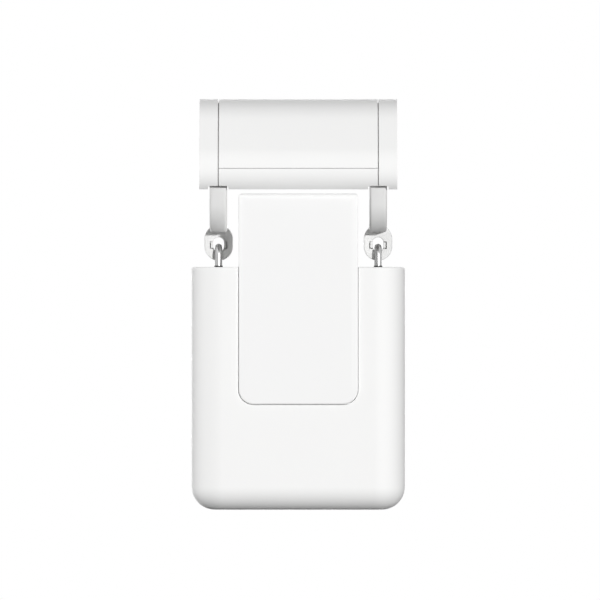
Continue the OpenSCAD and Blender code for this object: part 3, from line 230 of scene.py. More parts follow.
def keep(material, *nodes):
    """Gives CAD nodes whose form is right a material."""
    for node in nodes:
        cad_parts[node].material_slots[0].material = material


turned_steel = machined("turned_steel", STEEL, rough=0.3, stretch=(1, 0.06, 1), depth=0.0015)
for side in ("left", "right"):
    axle = "roller_axle_" + side
    show(trimmed(axle, width=0.25), turned_steel, "carriage", "steel", axle)
    keep(turned_steel, "roller_bearings_" + side)
keep(turned_steel, "roller_spacers", "axle_clips")


# Rollers: two hollow-waisted wheels of white nylon, moulded and turned, that carry the whole robot.
# Each has a seat at both ends for its bearings.
NYLON = (0.83, 0.82, 0.79)
GROOVE_R = 22
SEAT_R = 3.52
SEAT_DEPTH = 3
BORE_R = 2.2
RIM_FILLET = 0.35
BORE_FILLET = 0.15
JOIN = 0.002


def span(node):
    """Lowest and highest corner of a CAD node, in mm."""
    return [np.array(corner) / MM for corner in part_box(node)]


def bent(points, radii, steps=5, closed=False):
    """A line through points whose corners become arcs of these radii, each of which touches both its sides.
    A corner with radius 0, and the ends of a line that isn't closed, stay as they are."""
    points = np.asarray(points, float)
    radii = np.broadcast_to(radii, len(points)).copy()
    if not closed:
        radii[[0, -1]] = 0
    line = []
    for i, (corner, radius) in enumerate(zip(points, radii)):
        a, b = points[i - 1] - corner, points[(i + 1) % len(points)] - corner
        if radius == 0:
            line.append(corner[None])
            continue
        reach = np.linalg.norm(a), np.linalg.norm(b)
        a, b = a / reach[0], b / reach[1]
        half = math.acos(np.clip(a @ b, -1, 1)) / 2
        set_back = min(radius / math.tan(half), reach[0] / 2, reach[1] / 2)
        middle = corner + (a + b) / np.linalg.norm(a + b) * set_back / math.cos(half)
        start, end = corner + a * set_back - middle, corner + b * set_back - middle
        turn = math.pi - 2 * half
        t = np.linspace(0, 1, steps + 1)[:, None]
        line.append(middle + (np.sin((1 - t) * turn) * start + np.sin(t * turn) * end) / math.sin(turn))
    line = np.concatenate(line)
    return np.concatenate([line, line[:1]]) if closed else line


def skin(name, *grids):
    """A piece made of grids of points in mm: neighbours on a grid are joined by quads, and grids that meet
    are welded."""
    points, quads, count = [], [], 0
    for grid in grids:
        index = count + np.arange(grid.shape[0] * grid.shape[1]).reshape(grid.shape[:2])
        corners = [index[:-1, :-1], index[1:, :-1], index[1:, 1:], index[:-1, 1:]]
        quads.append(np.stack(corners, -1).reshape(-1, 4))
        points.append(grid.reshape(-1, 3))
        count += index.size
    mesh = bpy.data.meshes.new(name)
    mesh.from_pydata((np.concatenate(points) * MM).tolist(), [], np.concatenate(quads).tolist())
    work = bmesh.new()
    work.from_mesh(mesh)
    bmesh.ops.remove_doubles(work, verts=work.verts, dist=JOIN * MM)
    bmesh.ops.recalc_face_normals(work, faces=work.faces)
    work.to_mesh(mesh)
    work.free()
    return placed(name, mesh)


def turned(name, line, axis, middle, steps=96):
    """A line of (radius, place) points turned about Y (axis 1) or Z (axis 2) through middle = (x, z or y)."""
    radius, place = np.asarray(line, float).T[:, :, None]
    turn = np.linspace(0, 2 * np.pi, steps + 1)
    grid = np.empty((len(radius), steps + 1, 3))
    grid[..., 0] = middle[0] + radius * np.cos(turn)
    grid[..., 3 - axis] = middle[1] + radius * np.sin(turn)
    grid[..., axis] = place
    return skin(name, grid)


def waisted(rim, half, place):
    """A wheel's radius at places along its axle: a hollow of radius GROOVE_R that reaches rim at half."""
    return rim + np.sqrt(GROOVE_R**2 - half**2) - np.sqrt(GROOVE_R**2 - place**2)


def smooth(piece, sharp):
    """Shades a piece smoothly except over edges that turn by more than sharp degrees."""
    piece.data.shade_smooth()
    piece.data.set_sharp_from_angle(angle=math.radians(sharp))
    return piece


nylon = moulded("white_nylon", NYLON, rough=0.42, grain=0.5, depth=0.003, cloud=0.03)
for side in ("left", "right"):
    low, high = span("roller_" + side)
    place = np.linspace(-high[1], high[1], 41)
    hollow = waisted((high[2] - low[2]) / 2, high[1], place)
    seat_y = high[1] - SEAT_DEPTH
    bore = [(SEAT_R, high[1]), (SEAT_R, seat_y), (BORE_R, seat_y)]
    bore += [(BORE_R, -seat_y), (SEAT_R, -seat_y), (SEAT_R, low[1])]
    line = np.concatenate([np.stack([hollow, place], 1), bore])
    fillets = np.zeros(len(line))
    fillets[[0, len(place) - 1]] = RIM_FILLET
    fillets[len(place) :] = BORE_FILLET
    line = bent(line, fillets, steps=4, closed=True)
    wheel = turned("roller_wheel_" + side, line, 1, (low + high)[[0, 2]] / 2)
    show(smooth(wheel, sharp=40), nylon, side + "_roller", "roller_nylon", "roller_" + side)


# Carriage cover: a white moulded arch over the rollers with a rounded nose at the front, flat flanks and a
# round crown. It sits on three bosses, into which screws go from below through the frame, and a tongue at
# each end closes the seam.
WHITE = (0.93, 0.93, 0.925)
COVER_WALL = 2.2
NOSE_R = 15.7
NOSE_Z = 0.2
LEAN = math.radians(35)
LIP_R = 10.1
LIP_EDGE_Z = -7.2
BACK_EDGE_Z = 6
SEAM_LOW = 1.1
SEAM_HIGH = 1.3
SEAM_FILL = 0.38
SEAM_SINK = 1.4
COVER_BOSSES = ((-29, 2.4), (0, 3), (29, 2.4))
SCREW_HOLE_R = 1.05
CUT_FLAT = 0.03
depth = -span("carriage_front_strip")[0][1]
crown_z = span("carriage_cover")[1][2]
flank = depth - NOSE_R * (1 - math.cos(LEAN))
flank -= (crown_z - NOSE_Z - NOSE_R * math.sin(LEAN)) * math.tan(LEAN)
crown_r = flank / (math.cos(LEAN) - math.tan(LEAN) * (1 - math.sin(LEAN)))


def arc(middle, radius, first, last, steps):
    """Points on a circle from one angle to another, in radians."""
    turn = np.linspace(first, last, steps + 1)
    return np.stack([middle[0] + radius * np.cos(turn), middle[1] + radius * np.sin(turn)], 1)


def strip_line(inset, seam):
    """The wall's line in Y and Z from the lip's edge to the seam: the lip's arc, then part of the nose's."""
    edge = math.asin((NOSE_Z - LIP_EDGE_Z) / LIP_R)
    rise = math.asin((seam - NOSE_Z) / (NOSE_R - inset))
    lip = arc((-depth + LIP_R, NOSE_Z), LIP_R - inset, math.pi + edge, math.pi, 20)
    nose = arc((-depth + NOSE_R, NOSE_Z), NOSE_R - inset, math.pi, math.pi - rise, 3)
    return np.concatenate([lip, nose[1:]])


def cover_line(inset, seam):
    """The wall's line from the seam over the crown to the back edge: nose, flank, crown, flank and nose."""
    rise = math.asin((seam - NOSE_Z) / (NOSE_R - inset))
    back = math.asin((BACK_EDGE_Z - NOSE_Z) / (NOSE_R - inset))
    return np.concatenate([
        arc((-depth + NOSE_R, NOSE_Z), NOSE_R - inset, math.pi - rise, math.pi - LEAN, 16),
        arc((0, crown_z - crown_r), crown_r - inset, math.pi - LEAN, LEAN, 60),
        arc((depth - NOSE_R, NOSE_Z), NOSE_R - inset, LEAN, back, 8),
    ])


def across(line, *places):
    """A line in Y and Z repeated at places along X."""
    grid = np.empty((len(places), len(line), 3))
    grid[..., 0] = np.array(places)[:, None]
    grid[..., 1:] = line
    return grid


def slab(outer, inner):
    """The two sides of a wall, as grids of the same size, and the strips that close it along its borders."""
    borders = [(0, slice(None)), (-1, slice(None)), (slice(None), 0), (slice(None), -1)]
    return [outer, inner] + [np.stack([outer[b], inner[b]]) for b in borders]


def tongued(name, path, seam, rise, x0, x1):
    """A wall whose inner layer goes on as a tongue at each end, and by rise at the seam: a ring of (depth
    below the face, place along X) points carried along the wall's line, and faces that close its two ends."""
    tips = x0 - SEAM_FILL, x1 + SEAM_FILL
    ring = [(0, x0), (0, x1), (SEAM_SINK, x1), (SEAM_SINK, tips[1])]
    ring += [(COVER_WALL, tips[1]), (COVER_WALL, x1), (COVER_WALL, x0), (COVER_WALL, tips[0])]
    ring += [(SEAM_SINK, tips[0]), (SEAM_SINK, x0), (0, x0)]
    grid = np.concatenate([across(path(inset, seam + rise * (inset > 0)), x) for inset, x in ring])
    faces = [[0, 1], [9, 2]], [[8, 9, 2, 3], [7, 6, 5, 4]]
    return skin(name, grid, *[grid[np.array(face), end] for face in faces for end in (0, -1)])


def shaped(piece, operation, *tools):
    """Joins tools to a piece (UNION) or cuts them out of it (DIFFERENCE), and leaves one closed mesh."""
    for tool in tools:
        step = piece.modifiers.new("shape", "BOOLEAN")
        step.operation, step.object, step.solver = operation, tool, "EXACT"
    scene = bpy.context.evaluated_depsgraph_get()
    piece.data = bpy.data.meshes.new_from_object(piece.evaluated_get(scene))
    piece.modifiers.clear()
    merged(piece.data, CUT_FLAT)
    for tool in tools:
        bpy.data.objects.remove(tool)
    return piece


def boss(x, radius):
    """A screw boss between the frame and the crown: a round bar with a blind hole from below."""
    foot, head = span("carriage_frame")[1][2], crown_z - COVER_WALL / 2
    blind = head - COVER_WALL
    line = [(0, head), (radius, head), (radius, foot)]
    line += [(SCREW_HOLE_R, foot), (SCREW_HOLE_R, blind), (0, blind)]
    return turned("boss", line, 2, (x, 0), steps=48)


white_plastic = moulded("white_plastic", WHITE, rough=0.6, grain=0.28, depth=0.004, cloud=0.012, gloss=0.12)
low, high = span("carriage_cover")
cover = tongued("cover_arch", cover_line, SEAM_HIGH, 0, low[0], high[0])
shaped(cover, "UNION", *[boss(x, radius) for x, radius in COVER_BOSSES])
show(rounded(cover, width=0.12), white_plastic, "carriage", "white_shell", "carriage_cover")


# Front strip: the lower front of the carriage, a narrow white moulding that curls under as a lip.
# A faint seam, closed by its upper tongue, parts it from the cover, and its ends are notched for the arms.
STRIP_RISE = 0.18
NOTCH_HALF = 4.1
NOTCH_H = 1.4
NOTCH_R = 0.7
ARM_X = 32
PAST = 1


def through(line, *places):
    """A line in X and Z repeated at places along Y."""
    grid = np.empty((len(places), len(line), 3))
    grid[..., 0], grid[..., 1], grid[..., 2] = line[:, 0], np.array(places)[:, None], line[:, 1]
    return grid


def plug(grid):
    """A cutter made of rings, the first and last of which are drawn together to a point."""
    grid[[0, -1]] = grid[[0, -1]].mean(axis=1, keepdims=True)
    return skin("plug", grid)


def notch(side):
    """A cutter for the lip's opening around an arm, with round upper corners. It starts PAST mm outside."""
    half = side * ARM_X + np.array([-NOTCH_HALF, NOTCH_HALF])
    foot, head = LIP_EDGE_Z - PAST, LIP_EDGE_Z + NOTCH_H
    corners = [(half[0], foot), (half[1], foot), (half[1], head), (half[0], head)]
    line = bent(corners, [0, 0, NOTCH_R, NOTCH_R], steps=6, closed=True)
    y0, y1 = -depth - PAST, -depth / 2
    return plug(through(line, y0, y0, y1, y1))


low, high = span("carriage_front_strip")
strip = tongued("front_lip", strip_line, SEAM_LOW, STRIP_RISE, low[0], high[0])
shaped(strip, "DIFFERENCE", notch(-1), notch(1))
show(rounded(strip, width=0.08), white_plastic, "carriage", "white_shell", "carriage_front_strip")


# End caps: white mouldings with the same section as the cover and a flat outer wall, cut away in a wide arch.
# They butt against the tongues of cover and strip, and a screw from below holds each.
END_WALL = 2
ARCH_R = 17.5
ARCH_Z = -3.5
CAP_BOSS_X = 35
CAP_BOSS_R = 2.4


def measured(line, share):
    """Points at these shares of a line's length."""
    length = np.concatenate([[0], np.cumsum(np.linalg.norm(np.diff(line, axis=0), axis=1))])
    return np.stack([np.interp(share * length[-1], length, line[:, k]) for k in (0, 1)], 1)


def cap_line(inset):
    """The carriage's whole line, from the lip's edge to the back edge."""
    return np.concatenate([strip_line(inset, SEAM_LOW), cover_line(inset, SEAM_HIGH)])


def arch_line(first, last):
    """The end wall's lower edge: straight from first to the arch, round the arch, and straight to last."""
    middle = np.array([0, ARCH_Z])
    along, offset = last - first, first - middle
    a, b, c = along @ along, along @ offset, offset @ offset - ARCH_R**2
    feet = [first + along * (-b + sign * math.sqrt(b * b - a * c)) / a for sign in (-1, 1)]
    turns = [math.atan2(*(foot - middle)[::-1]) % (2 * math.pi) for foot in feet]
    return np.concatenate([first[None], arc(middle, ARCH_R, *turns, 60), last[None]])


share = np.linspace(0, 1, 161)
outer, inner = [cap_line(inset) for inset in (0, COVER_WALL)]
arch = measured(arch_line(inner[0], inner[-1]), share)
outer, inner = measured(outer, share), measured(inner, share)
for side, sign in (("left", -1), ("right", 1)):
    low, high = span("end_cap_" + side)
    seam_x, end_x = (high[0], low[0]) if sign < 0 else (low[0], high[0])
    wall_x = end_x - sign * END_WALL
    ring = [(outer, seam_x), (outer, end_x), (arch, end_x)]
    ring += [(arch, wall_x), (inner, wall_x), (inner, seam_x), (outer, seam_x)]
    grid = np.concatenate([across(line, x) for line, x in ring])
    ends = [np.stack([grid[:3, k], grid[[5, 4, 3], k]]) for k in (0, -1)]
    cap = skin("cap_" + side, grid, *ends)
    shaped(cap, "UNION", boss(sign * CAP_BOSS_X, CAP_BOSS_R))
    shaped(cap, "DIFFERENCE", notch(sign))
    show(rounded(cap, width=0.05), white_plastic, "carriage", "white_shell", "end_cap_" + side)


# Hook arms: two grey mouldings of glass-filled nylon. Each is screwed to the frame by a tab, leaves the
# carriage through a notch, curves back under the rollers and ends in an eyelet with a shallow pocket across
# its hole.
ARM_W = 7
ARM_H = 4.2
ARM_EDGE = 1.2
ARM_BEND_R = 9.1
ARM_KNEES = (10.36, 1.73)
ARM_KNEE_R = 3
ARM_UNDER = -20
EYELET_R = 5.7
EYELET_HALF = 1.7
EYELET_TOP = -21.2
EYELET_EDGE = 0.5
HOLE_R = 2.2
HOLE_ENDS = (-29.8, -28.4)
HOLE_EDGE = 0.45
POCKET_HALF = (3.5, 1.5)
POCKET_DEEP = 2.4
POCKET_Z = -29.4
POCKET_STEP = 0.12
POCKET_LINE = 0.42
TAB_HOLE_X = 1.9
TAB_HOLE_Z = 15.8
TAB_HOLE_R = 1.15
TAB_DRILL = 5
SCORE_LINE = ((-1, -6.9), (2.8, -5.87), (2.8, -4.4), (-1, -1.6))
DOME_STEPS = 6


def swept(line, section, x, domes):
    """Rings of points: a closed section of (across, out) points carried along a line in Y and Z at x. Each
    end is closed by rings that shrink over a dome of that height."""
    step = np.gradient(line, axis=0)
    step /= np.linalg.norm(step, axis=1)[:, None]
    turn = np.linspace(0, np.pi / 2, DOME_STEPS + 1)[1:]
    rise, shrink = np.sin(turn)[:, None], np.cos(turn)
    first, last = line[0] - domes[0] * rise[::-1] * step[0], line[-1] + domes[1] * rise * step[-1]
    place = np.concatenate([first, line, last])
    size = np.concatenate([shrink[::-1], np.ones(len(line)), shrink])
    along = np.concatenate([step[[0] * DOME_STEPS], step, step[[-1] * DOME_STEPS]])
    out = np.stack([-along[:, 1], along[:, 0]], 1)
    grid = np.empty((len(place), len(section), 3))
    grid[..., 0] = x + size[:, None] * section[:, 0]
    grid[..., 1:] = place[:, None] + (size[:, None] * section[:, 1])[..., None] * out[:, None]
    return grid


def upright(radius, z0, z1):
    """A slot's outline in X and Z: half circles about z0 and z1 and the straight sides between them."""
    line = np.concatenate([arc((0, z0), radius, -np.pi, 0, 30), arc((0, z1), radius, 0, np.pi, 30)])
    return np.concatenate([line, line[:1]])


def eyelet(x, low_z):
    """A slot-shaped ring: its outline and its hole's, carried through rounded edges from front to back."""
    radius, half = EYELET_R, EYELET_HALF
    ease = np.linspace(0, np.pi / 2, 5)
    outer = [(radius - EYELET_EDGE * (1 - np.sin(t)), -half + EYELET_EDGE * (1 - np.cos(t))) for t in ease]
    outer += [(r, -y) for r, y in outer[::-1]]
    hole = [(HOLE_R + HOLE_EDGE * (1 - np.sin(t)), half - HOLE_EDGE * (1 - np.cos(t))) for t in ease]
    hole += [(r, -y) for r, y in hole[::-1]]
    rings = [(upright(r, low_z + radius, EYELET_TOP - radius), y) for r, y in outer]
    rings += [(upright(r, *HOLE_ENDS), y) for r, y in hole]
    return skin("eyelet", np.concatenate([through(line + (x, 0), y) for line, y in rings + rings[:1]]))


def block(low, high):
    """A box between two corners."""
    corner = np.stack(np.meshgrid(*zip(low, high), indexing="ij"), -1).astype(float)
    return skin("block", *slab(corner[:, :, 0], corner[:, :, 1]))


def pocket(x):
    """Cutters for the pocket across the hole: a step just under the eyelet's face, and a deeper line along
    each side of its border."""
    w, h = POCKET_HALF
    face = -EYELET_HALF
    cuts = [(-w, w, -h, h, POCKET_STEP)]
    cuts += [(-w, w, h - POCKET_LINE, h, POCKET_DEEP), (-w, w, -h, POCKET_LINE - h, POCKET_DEEP)]
    cuts += [(-w, POCKET_LINE - w, -h, h, POCKET_DEEP), (w - POCKET_LINE, w, -h, h, POCKET_DEEP)]
    corners = [((x0, face - PAST, z0), (x1, face + y, z1)) for x0, x1, z0, z1, y in cuts]
    return [block(*(np.array(pair) + (x, 0, POCKET_Z))) for pair in corners]


def score(x, front):
    """A cutter for the wedge out of an arm's front where it leaves the notch."""
    line = np.array(SCORE_LINE) + (front, 0)
    places = x - ARM_W, x + ARM_W
    return skin("wedge", *slab(across(line[[0, 3]], *places), across(line[[1, 2]], *places)))


corners = np.array([(-1, -1), (1, -1), (1, 1), (-1, 1)]) * (ARM_W, ARM_H) / 2
section = bent(corners, ARM_EDGE, steps=6, closed=True)
rail = span("carriage_frame")[1][1]
for side, sign in (("left", -1), ("right", 1)):
    low, high = span("hook_arm_" + side)
    x = sign * ARM_X
    half = ARM_H / 2
    front, tab, under = low[1] + half, -rail - half, ARM_UNDER - half
    corners = [(tab, high[2]), (tab, ARM_KNEES[0]), (front, ARM_KNEES[1])]
    corners += [(front, under), (high[1] - EYELET_EDGE, under)]
    line = bent(corners, [0, ARM_KNEE_R, ARM_KNEE_R, ARM_BEND_R, 0], steps=24)
    arm = skin("arm_" + side, swept(line, section, x, (0, 0)))
    shaped(arm, "UNION", eyelet(x, low[2]))
    y0, y1 = tab - TAB_DRILL, tab + TAB_DRILL
    line = [(0, y0), (TAB_HOLE_R, y0), (TAB_HOLE_R, y1), (0, y1)]
    places = [(x + dx, TAB_HOLE_Z) for dx in (-TAB_HOLE_X, TAB_HOLE_X)]
    drills = [turned("drill", line, 1, place, steps=32) for place in places]
    shaped(arm, "DIFFERENCE", *pocket(x), *drills, score(x, low[1]))
    show(smooth(arm, sharp=30), grey_plastic, "carriage", "grey_arm", "hook_arm_" + side)


# Cover and arm screws: small plated steel screws with hexagon sockets. The cover's are driven up through the
# frame into the bosses, and the arms' go back through the tabs into the frame.
plated_steel = machined("plated_steel", STEEL, rough=0.26, stretch=(1, 1, 1), depth=0.001)
keep(plated_steel, "cover_screws", "arm_screws")


# Spring hooks: bright plated steel wire, bent twice over the eyelet's rim. The long leg goes down through a
# bush in the body's deck, and the short leg has a round tip behind the eyelet.
CHROME = (0.5, 0.5, 0.5)
HOOK_RUN = 0.8
HOOK_TIP = 1.6
HOOK_FOOT = 0.3

hook_chrome = machined("hook_chrome", CHROME, rough=0.24, stretch=(1, 1, 0.05), depth=0.0004, edge=0.3)
for side in ("left", "right"):
    low, high = span("spring_hook_" + side)
    wire_r = (high[0] - low[0]) / 2
    leg, top = high[1] - wire_r, high[2] - wire_r
    bend_r = leg - HOOK_RUN
    tip = top - bend_r - HOOK_TIP
    line = bent([(-leg, low[2]), (-leg, top), (leg, top), (leg, tip)], bend_r, steps=24)
    ring = arc((0, 0), wire_r, 0, 2 * np.pi, 32)
    hook = skin("hook_" + side, swept(line, ring, (low[0] + high[0]) / 2, (HOOK_FOOT, wire_r)))
    show(smooth(hook, sharp=50), hook_chrome, side + "_hook", "hook_chrome", "spring_hook_" + side)


# Guide bushes, hook springs and stop nuts: black acetal bushes pressed into the deck from below, coiled
# spring wire with closed and ground ends, and a flanged nut on each hook's end that the spring pushes down.
BLACK = (0.022, 0.022, 0.023)
SPRING_STEEL = (0.36, 0.36, 0.37)
SPRING_TURNS = 6.5
SPRING_WIRE_R = 0.45
CLOSED_TURNS = 0.85
CLOSED_PITCH = 2.06
GROUND = 0.16

black_plastic = moulded("black_plastic", BLACK, rough=0.48, grain=0.3, depth=0.004, cloud=0.15)
spring_wire = machined("spring_wire", SPRING_STEEL, rough=0.33, stretch=(1, 1, 1), depth=0.001)


def coil(name, low, high):
    """A helix of round wire between two corners: it rises by CLOSED_PITCH of the wire's radii over each end
    turn and evenly between them, and points beyond the ends are ground flat."""
    x, y = (low + high)[:2] / 2
    mean_r = (high[0] - low[0]) / 2 - SPRING_WIRE_R
    turn = np.linspace(0, SPRING_TURNS, int(SPRING_TURNS * 48) + 1)
    rise = high[2] - low[2] - 2 * (SPRING_WIRE_R - GROUND)
    closed = CLOSED_TURNS * CLOSED_PITCH * SPRING_WIRE_R
    knots = [0, CLOSED_TURNS, SPRING_TURNS - CLOSED_TURNS, SPRING_TURNS]
    z = low[2] + SPRING_WIRE_R - GROUND + np.interp(turn, knots, [0, closed, rise - closed, rise])
    out = np.stack([np.cos(2 * np.pi * turn), np.sin(2 * np.pi * turn), 0 * turn], 1)
    centre = np.stack([x + mean_r * out[:, 0], y + mean_r * out[:, 1], z], 1)
    along = np.gradient(centre, axis=0)
    across_wire = np.cross(along, out)
    across_wire /= np.linalg.norm(across_wire, axis=1)[:, None]
    ring = arc((0, 0), SPRING_WIRE_R, 0, 2 * np.pi, 18)
    grid = centre[:, None] + ring[None, :, :1] * out[:, None] + ring[None, :, 1:] * across_wire[:, None]
    ends = [np.broadcast_to(centre[k], grid[:1].shape) for k in (0, -1)]
    grid = np.concatenate([ends[0], grid, ends[1]])
    grid[..., 2] = np.clip(grid[..., 2], low[2], high[2])
    return skin(name, grid)


for side in ("left", "right"):
    bush, stop = "hook_bush_" + side, "hook_stop_" + side
    show(trimmed(bush, width=0.08), black_plastic, "motor_unit", "black_plastic", bush)
    show(trimmed(stop, width=0.15), plated_steel, side + "_hook", "steel", stop)
    spring = smooth(coil("coil_" + side, *span("hook_spring_" + side)), sharp=50)
    show(spring, spring_wire, "motor_unit", "spring_steel", "hook_spring_" + side)
    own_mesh(spring)


# Front shell: the white moulded case of the motor unit, open at the back and the top, with rounded upright
# and bottom edges. Its bottom is pierced for the socket, the button and the light pipe, and its front has a
# recess for the panel.
BODY_WALL = 2.4
PLAN_R = 12.5
BOTTOM_R = 9.2
RIM_R = 1
ROUND_STEPS = 24
FIT_GAP = 0.15
POSTS = ((22.075, -48), (14, -97))
POST_R = 2.4
POST_HOLE_R = 1.25
POST_HOLE_END = -1
LEDGE_W = 2.2
LEDGE_HALF = 7
LEDGE_H = 2.4
PANEL_LOW_R = 6
PANEL_HIGH_R = 1.2
BUTTON_R = 3.2
BUTTON_GAP = 0.1
PIPE_GAP = 0.05

body_low, body_high = span("front_shell")
half_w, half_d, floor_z, rim_z = body_high[0], -body_low[1], body_low[2], body_high[2]


def level(line, *places):
    """A line in X and Y repeated at places along Z."""
    grid = np.empty((len(places), len(line), 3))
    grid[..., :2] = line
    grid[..., 2] = np.array(places)[:, None]
    return grid


def case(name, sign, cut):
    """Half of the case. A line of (inset, height) points runs from the rim down the wall and round the bottom
    edge to the cut; at each inset the plan is a U with corners rounded to PLAN_R less the inset. sign is -1
    for the front half, and cut is the distance from the middle to the cut, towards the half's face."""

    def wall(inset):
        turn = np.linspace(0, np.pi / 2, ROUND_STEPS + 1)[:, None]
        middle = np.array([BOTTOM_R, floor_z + BOTTOM_R])
        radius = BOTTOM_R - inset
        rim = np.array([RIM_R, rim_z - RIM_R])
        eased = rim + RIM_R * np.concatenate([-np.sin(turn), np.cos(turn)], 1)
        heights = np.linspace(rim_z, floor_z + 2 * BOTTOM_R, ROUND_STEPS + 1)
        plain = np.stack([np.full(len(heights), inset), heights], 1)
        bend = middle - radius * np.concatenate([np.cos(turn), np.sin(turn)], 1)
        flat = [(PLAN_R, floor_z + inset), (half_d - cut, floor_z + inset)]
        return np.concatenate([plain if inset else eased, bend, flat])

    def plan(inset):
        radius, set_in = max(PLAN_R - inset, 0), max(PLAN_R, inset)
        right = arc((half_w - set_in, half_d - set_in), radius, 0, np.pi / 2, 28)
        line = np.concatenate([[(half_w - inset, cut)], right])
        return np.concatenate([line, (line * (-1, 1))[::-1]]) * (1, sign)

    sides = [[level(plan(set_in), z) for set_in, z in wall(inset)] for inset in (0, BODY_WALL)]
    return skin(name, *slab(*[np.concatenate(rows) for rows in sides]))


def panel_line(inset):
    """The front panel's outline in X and Z, set in by inset, with round lower and upper corners."""
    low, high = span("front_panel")
    sides = []
    for radius, z, sign in ((PANEL_LOW_R, low[2], 1), (PANEL_HIGH_R, high[2], -1)):
        left, set_in = max(radius - inset, 0), max(radius, inset)
        turns = (-np.pi / 2, 0) if sign > 0 else (0, np.pi / 2)
        sides.append(arc((high[0] - set_in, z + sign * set_in), left, *turns, 16))
    line = np.concatenate(sides)
    line = np.concatenate([line, (line * (-1, 1))[::-1]])
    return np.concatenate([line, line[:1]])


shell = case("shell_front", -1, -body_high[1])
posts, ledges = [], []
for sign in (-1, 1):
    for x, z in POSTS:
        back, front = body_high[1], -half_d + BODY_WALL / 2
        line = [(0, front), (POST_R, front), (POST_R, back)]
        line += [(POST_HOLE_R, back), (POST_HOLE_R, POST_HOLE_END), (0, POST_HOLE_END)]
        posts.append(turned("post", line, 1, (sign * x, z), steps=48))
    deck_low = span("top_deck")[0][2]
    edges = sorted(sign * np.array([half_w - BODY_WALL - LEDGE_W, half_w - BODY_WALL / 2]))
    ledges.append(block((edges[0], -LEDGE_HALF, deck_low - LEDGE_H), (edges[1], LEDGE_HALF, deck_low)))
shaped(shell, "UNION", *posts, *ledges)

panel_back = span("front_panel")[1][1]
panel_front = -half_d - PAST
recess = plug(through(panel_line(-FIT_GAP), panel_front, panel_front, panel_back, panel_back))
z0, z1 = floor_z - PAST, floor_z + BODY_WALL + PAST
low, high = span("charging_socket")
socket_mouth = upright(high[1] + FIT_GAP, low[0] + high[1], high[0] - high[1])[:, ::-1]
low, high = span("setup_button")
button_x = (low[0] + high[0]) / 2
low, high = span("light_pipe")
pipe_x, pipe_r = (low[0] + high[0]) / 2, (high[0] - low[0]) / 2
holes = []
for x, radius in ((button_x, BUTTON_R + BUTTON_GAP), (pipe_x, pipe_r + PIPE_GAP)):
    holes.append(turned("pin", [(0, z0), (radius, z0), (radius, z1), (0, z1)], 2, (x, 0), steps=64))
shaped(shell, "DIFFERENCE", recess, plug(level(socket_mouth, z0, z0, z1, z1)), *holes)
show(rounded(shell, width=0.2), white_plastic, "motor_unit", "white_shell", "front_shell")


# Cells and cradles: two round cells in plain blue shrink wrap with a pale ring, each standing in a black
# moulded cradle.
WRAP = (0.05, 0.16, 0.42)
WRAP_RING = (0.82, 0.82, 0.8)
WRAP_RING_H = 3.5
WRINKLE_W = 1.6
WRINKLE_DEPTH = 0.03


def part(space, axis):
    """One of the three parts of a place."""
    return space.node("ShaderNodeSeparateXYZ", {}, {0: space}, axis)


def either(mask, first, second):
    """The first colour where the mask is 0, and the second where it is 1."""
    sockets = {0: mask, 6: (*first, 1), 7: (*second, 1)}
    return mask.node("ShaderNodeMix", {"data_type": "RGBA"}, sockets, 2)


def wrapped(space):
    """Shrink wrap: blue with a pale insulating ring at the upper end, and faint lengthwise wrinkles."""
    z = part(space, "Z")
    ring = z.math("GREATER_THAN", z, span("cell_left")[1][2] - WRAP_RING_H)
    wrinkles = noise(stretched(space, (1, 1, 0.12)), WRINKLE_W)
    return {
        "Base Color": either(ring, WRAP, WRAP_RING),
        "Roughness": 0.28 + 0.15 * wrinkles,
        "Normal": bumped(space, wrinkles, WRINKLE_DEPTH),
    }


keep(finish("cell_wrap", wrapped, {"Coat Weight": 0.2}), "cell_left", "cell_right")
keep(black_plastic, "cell_cradle_left", "cell_cradle_right")


# Main board and its parts: a green glass-fibre board with tinned tracks, black chips on its front, a radio
# module in a metal can on its back, and the switch behind the button.
BOARD = (0.012, 0.11, 0.045)
TRACK = (0.03, 0.2, 0.085)
TRACK_GRID = {"Scale": 0.5, "Mortar Size": 0.035, "Brick Width": 1.7, "Row Height": 0.5}
TRACK_SHIFT = 0.37
TRACK_H = 0.02
MASK_GRAIN = 0.8
CHIP_GRAIN = 0.25
CHIP_GRAIN_DEPTH = 0.003


def tracked(space):
    """Solder mask: a brick pattern in X and Z whose joints are the lighter tracks, a little raised."""
    flat = space.node("ShaderNodeCombineXYZ", {}, {"X": part(space, "X"), "Y": part(space, "Z")})
    sockets = {"Color1": (0, 0, 0, 1), "Color2": (0, 0, 0, 1), "Mortar": (1, 1, 1, 1), **TRACK_GRID}
    track = space.node("ShaderNodeTexBrick", {"offset": TRACK_SHIFT}, {"Vector": flat, **sockets}, "Fac")
    return {
        "Base Color": either(track, BOARD, TRACK),
        "Roughness": 0.32 + 0.1 * noise(space, MASK_GRAIN),
        "Normal": bumped(space, track, TRACK_H),
    }


def mounted(space):
    """Black chips, and a metal can where the parts stand behind the board."""
    y = part(space, "Y")
    can = y.math("GREATER_THAN", y, span("main_board")[1][1])
    grain = noise(space, CHIP_GRAIN)
    return {
        "Base Color": either(can, BLACK, STEEL),
        "Metallic": can,
        "Roughness": 0.3 + 0.2 * grain,
        "Normal": bumped(space, grain, CHIP_GRAIN_DEPTH),
    }


keep(finish("circuit_board", tracked, {}), "main_board")
keep(finish("board_parts", mounted, {}), "board_parts")


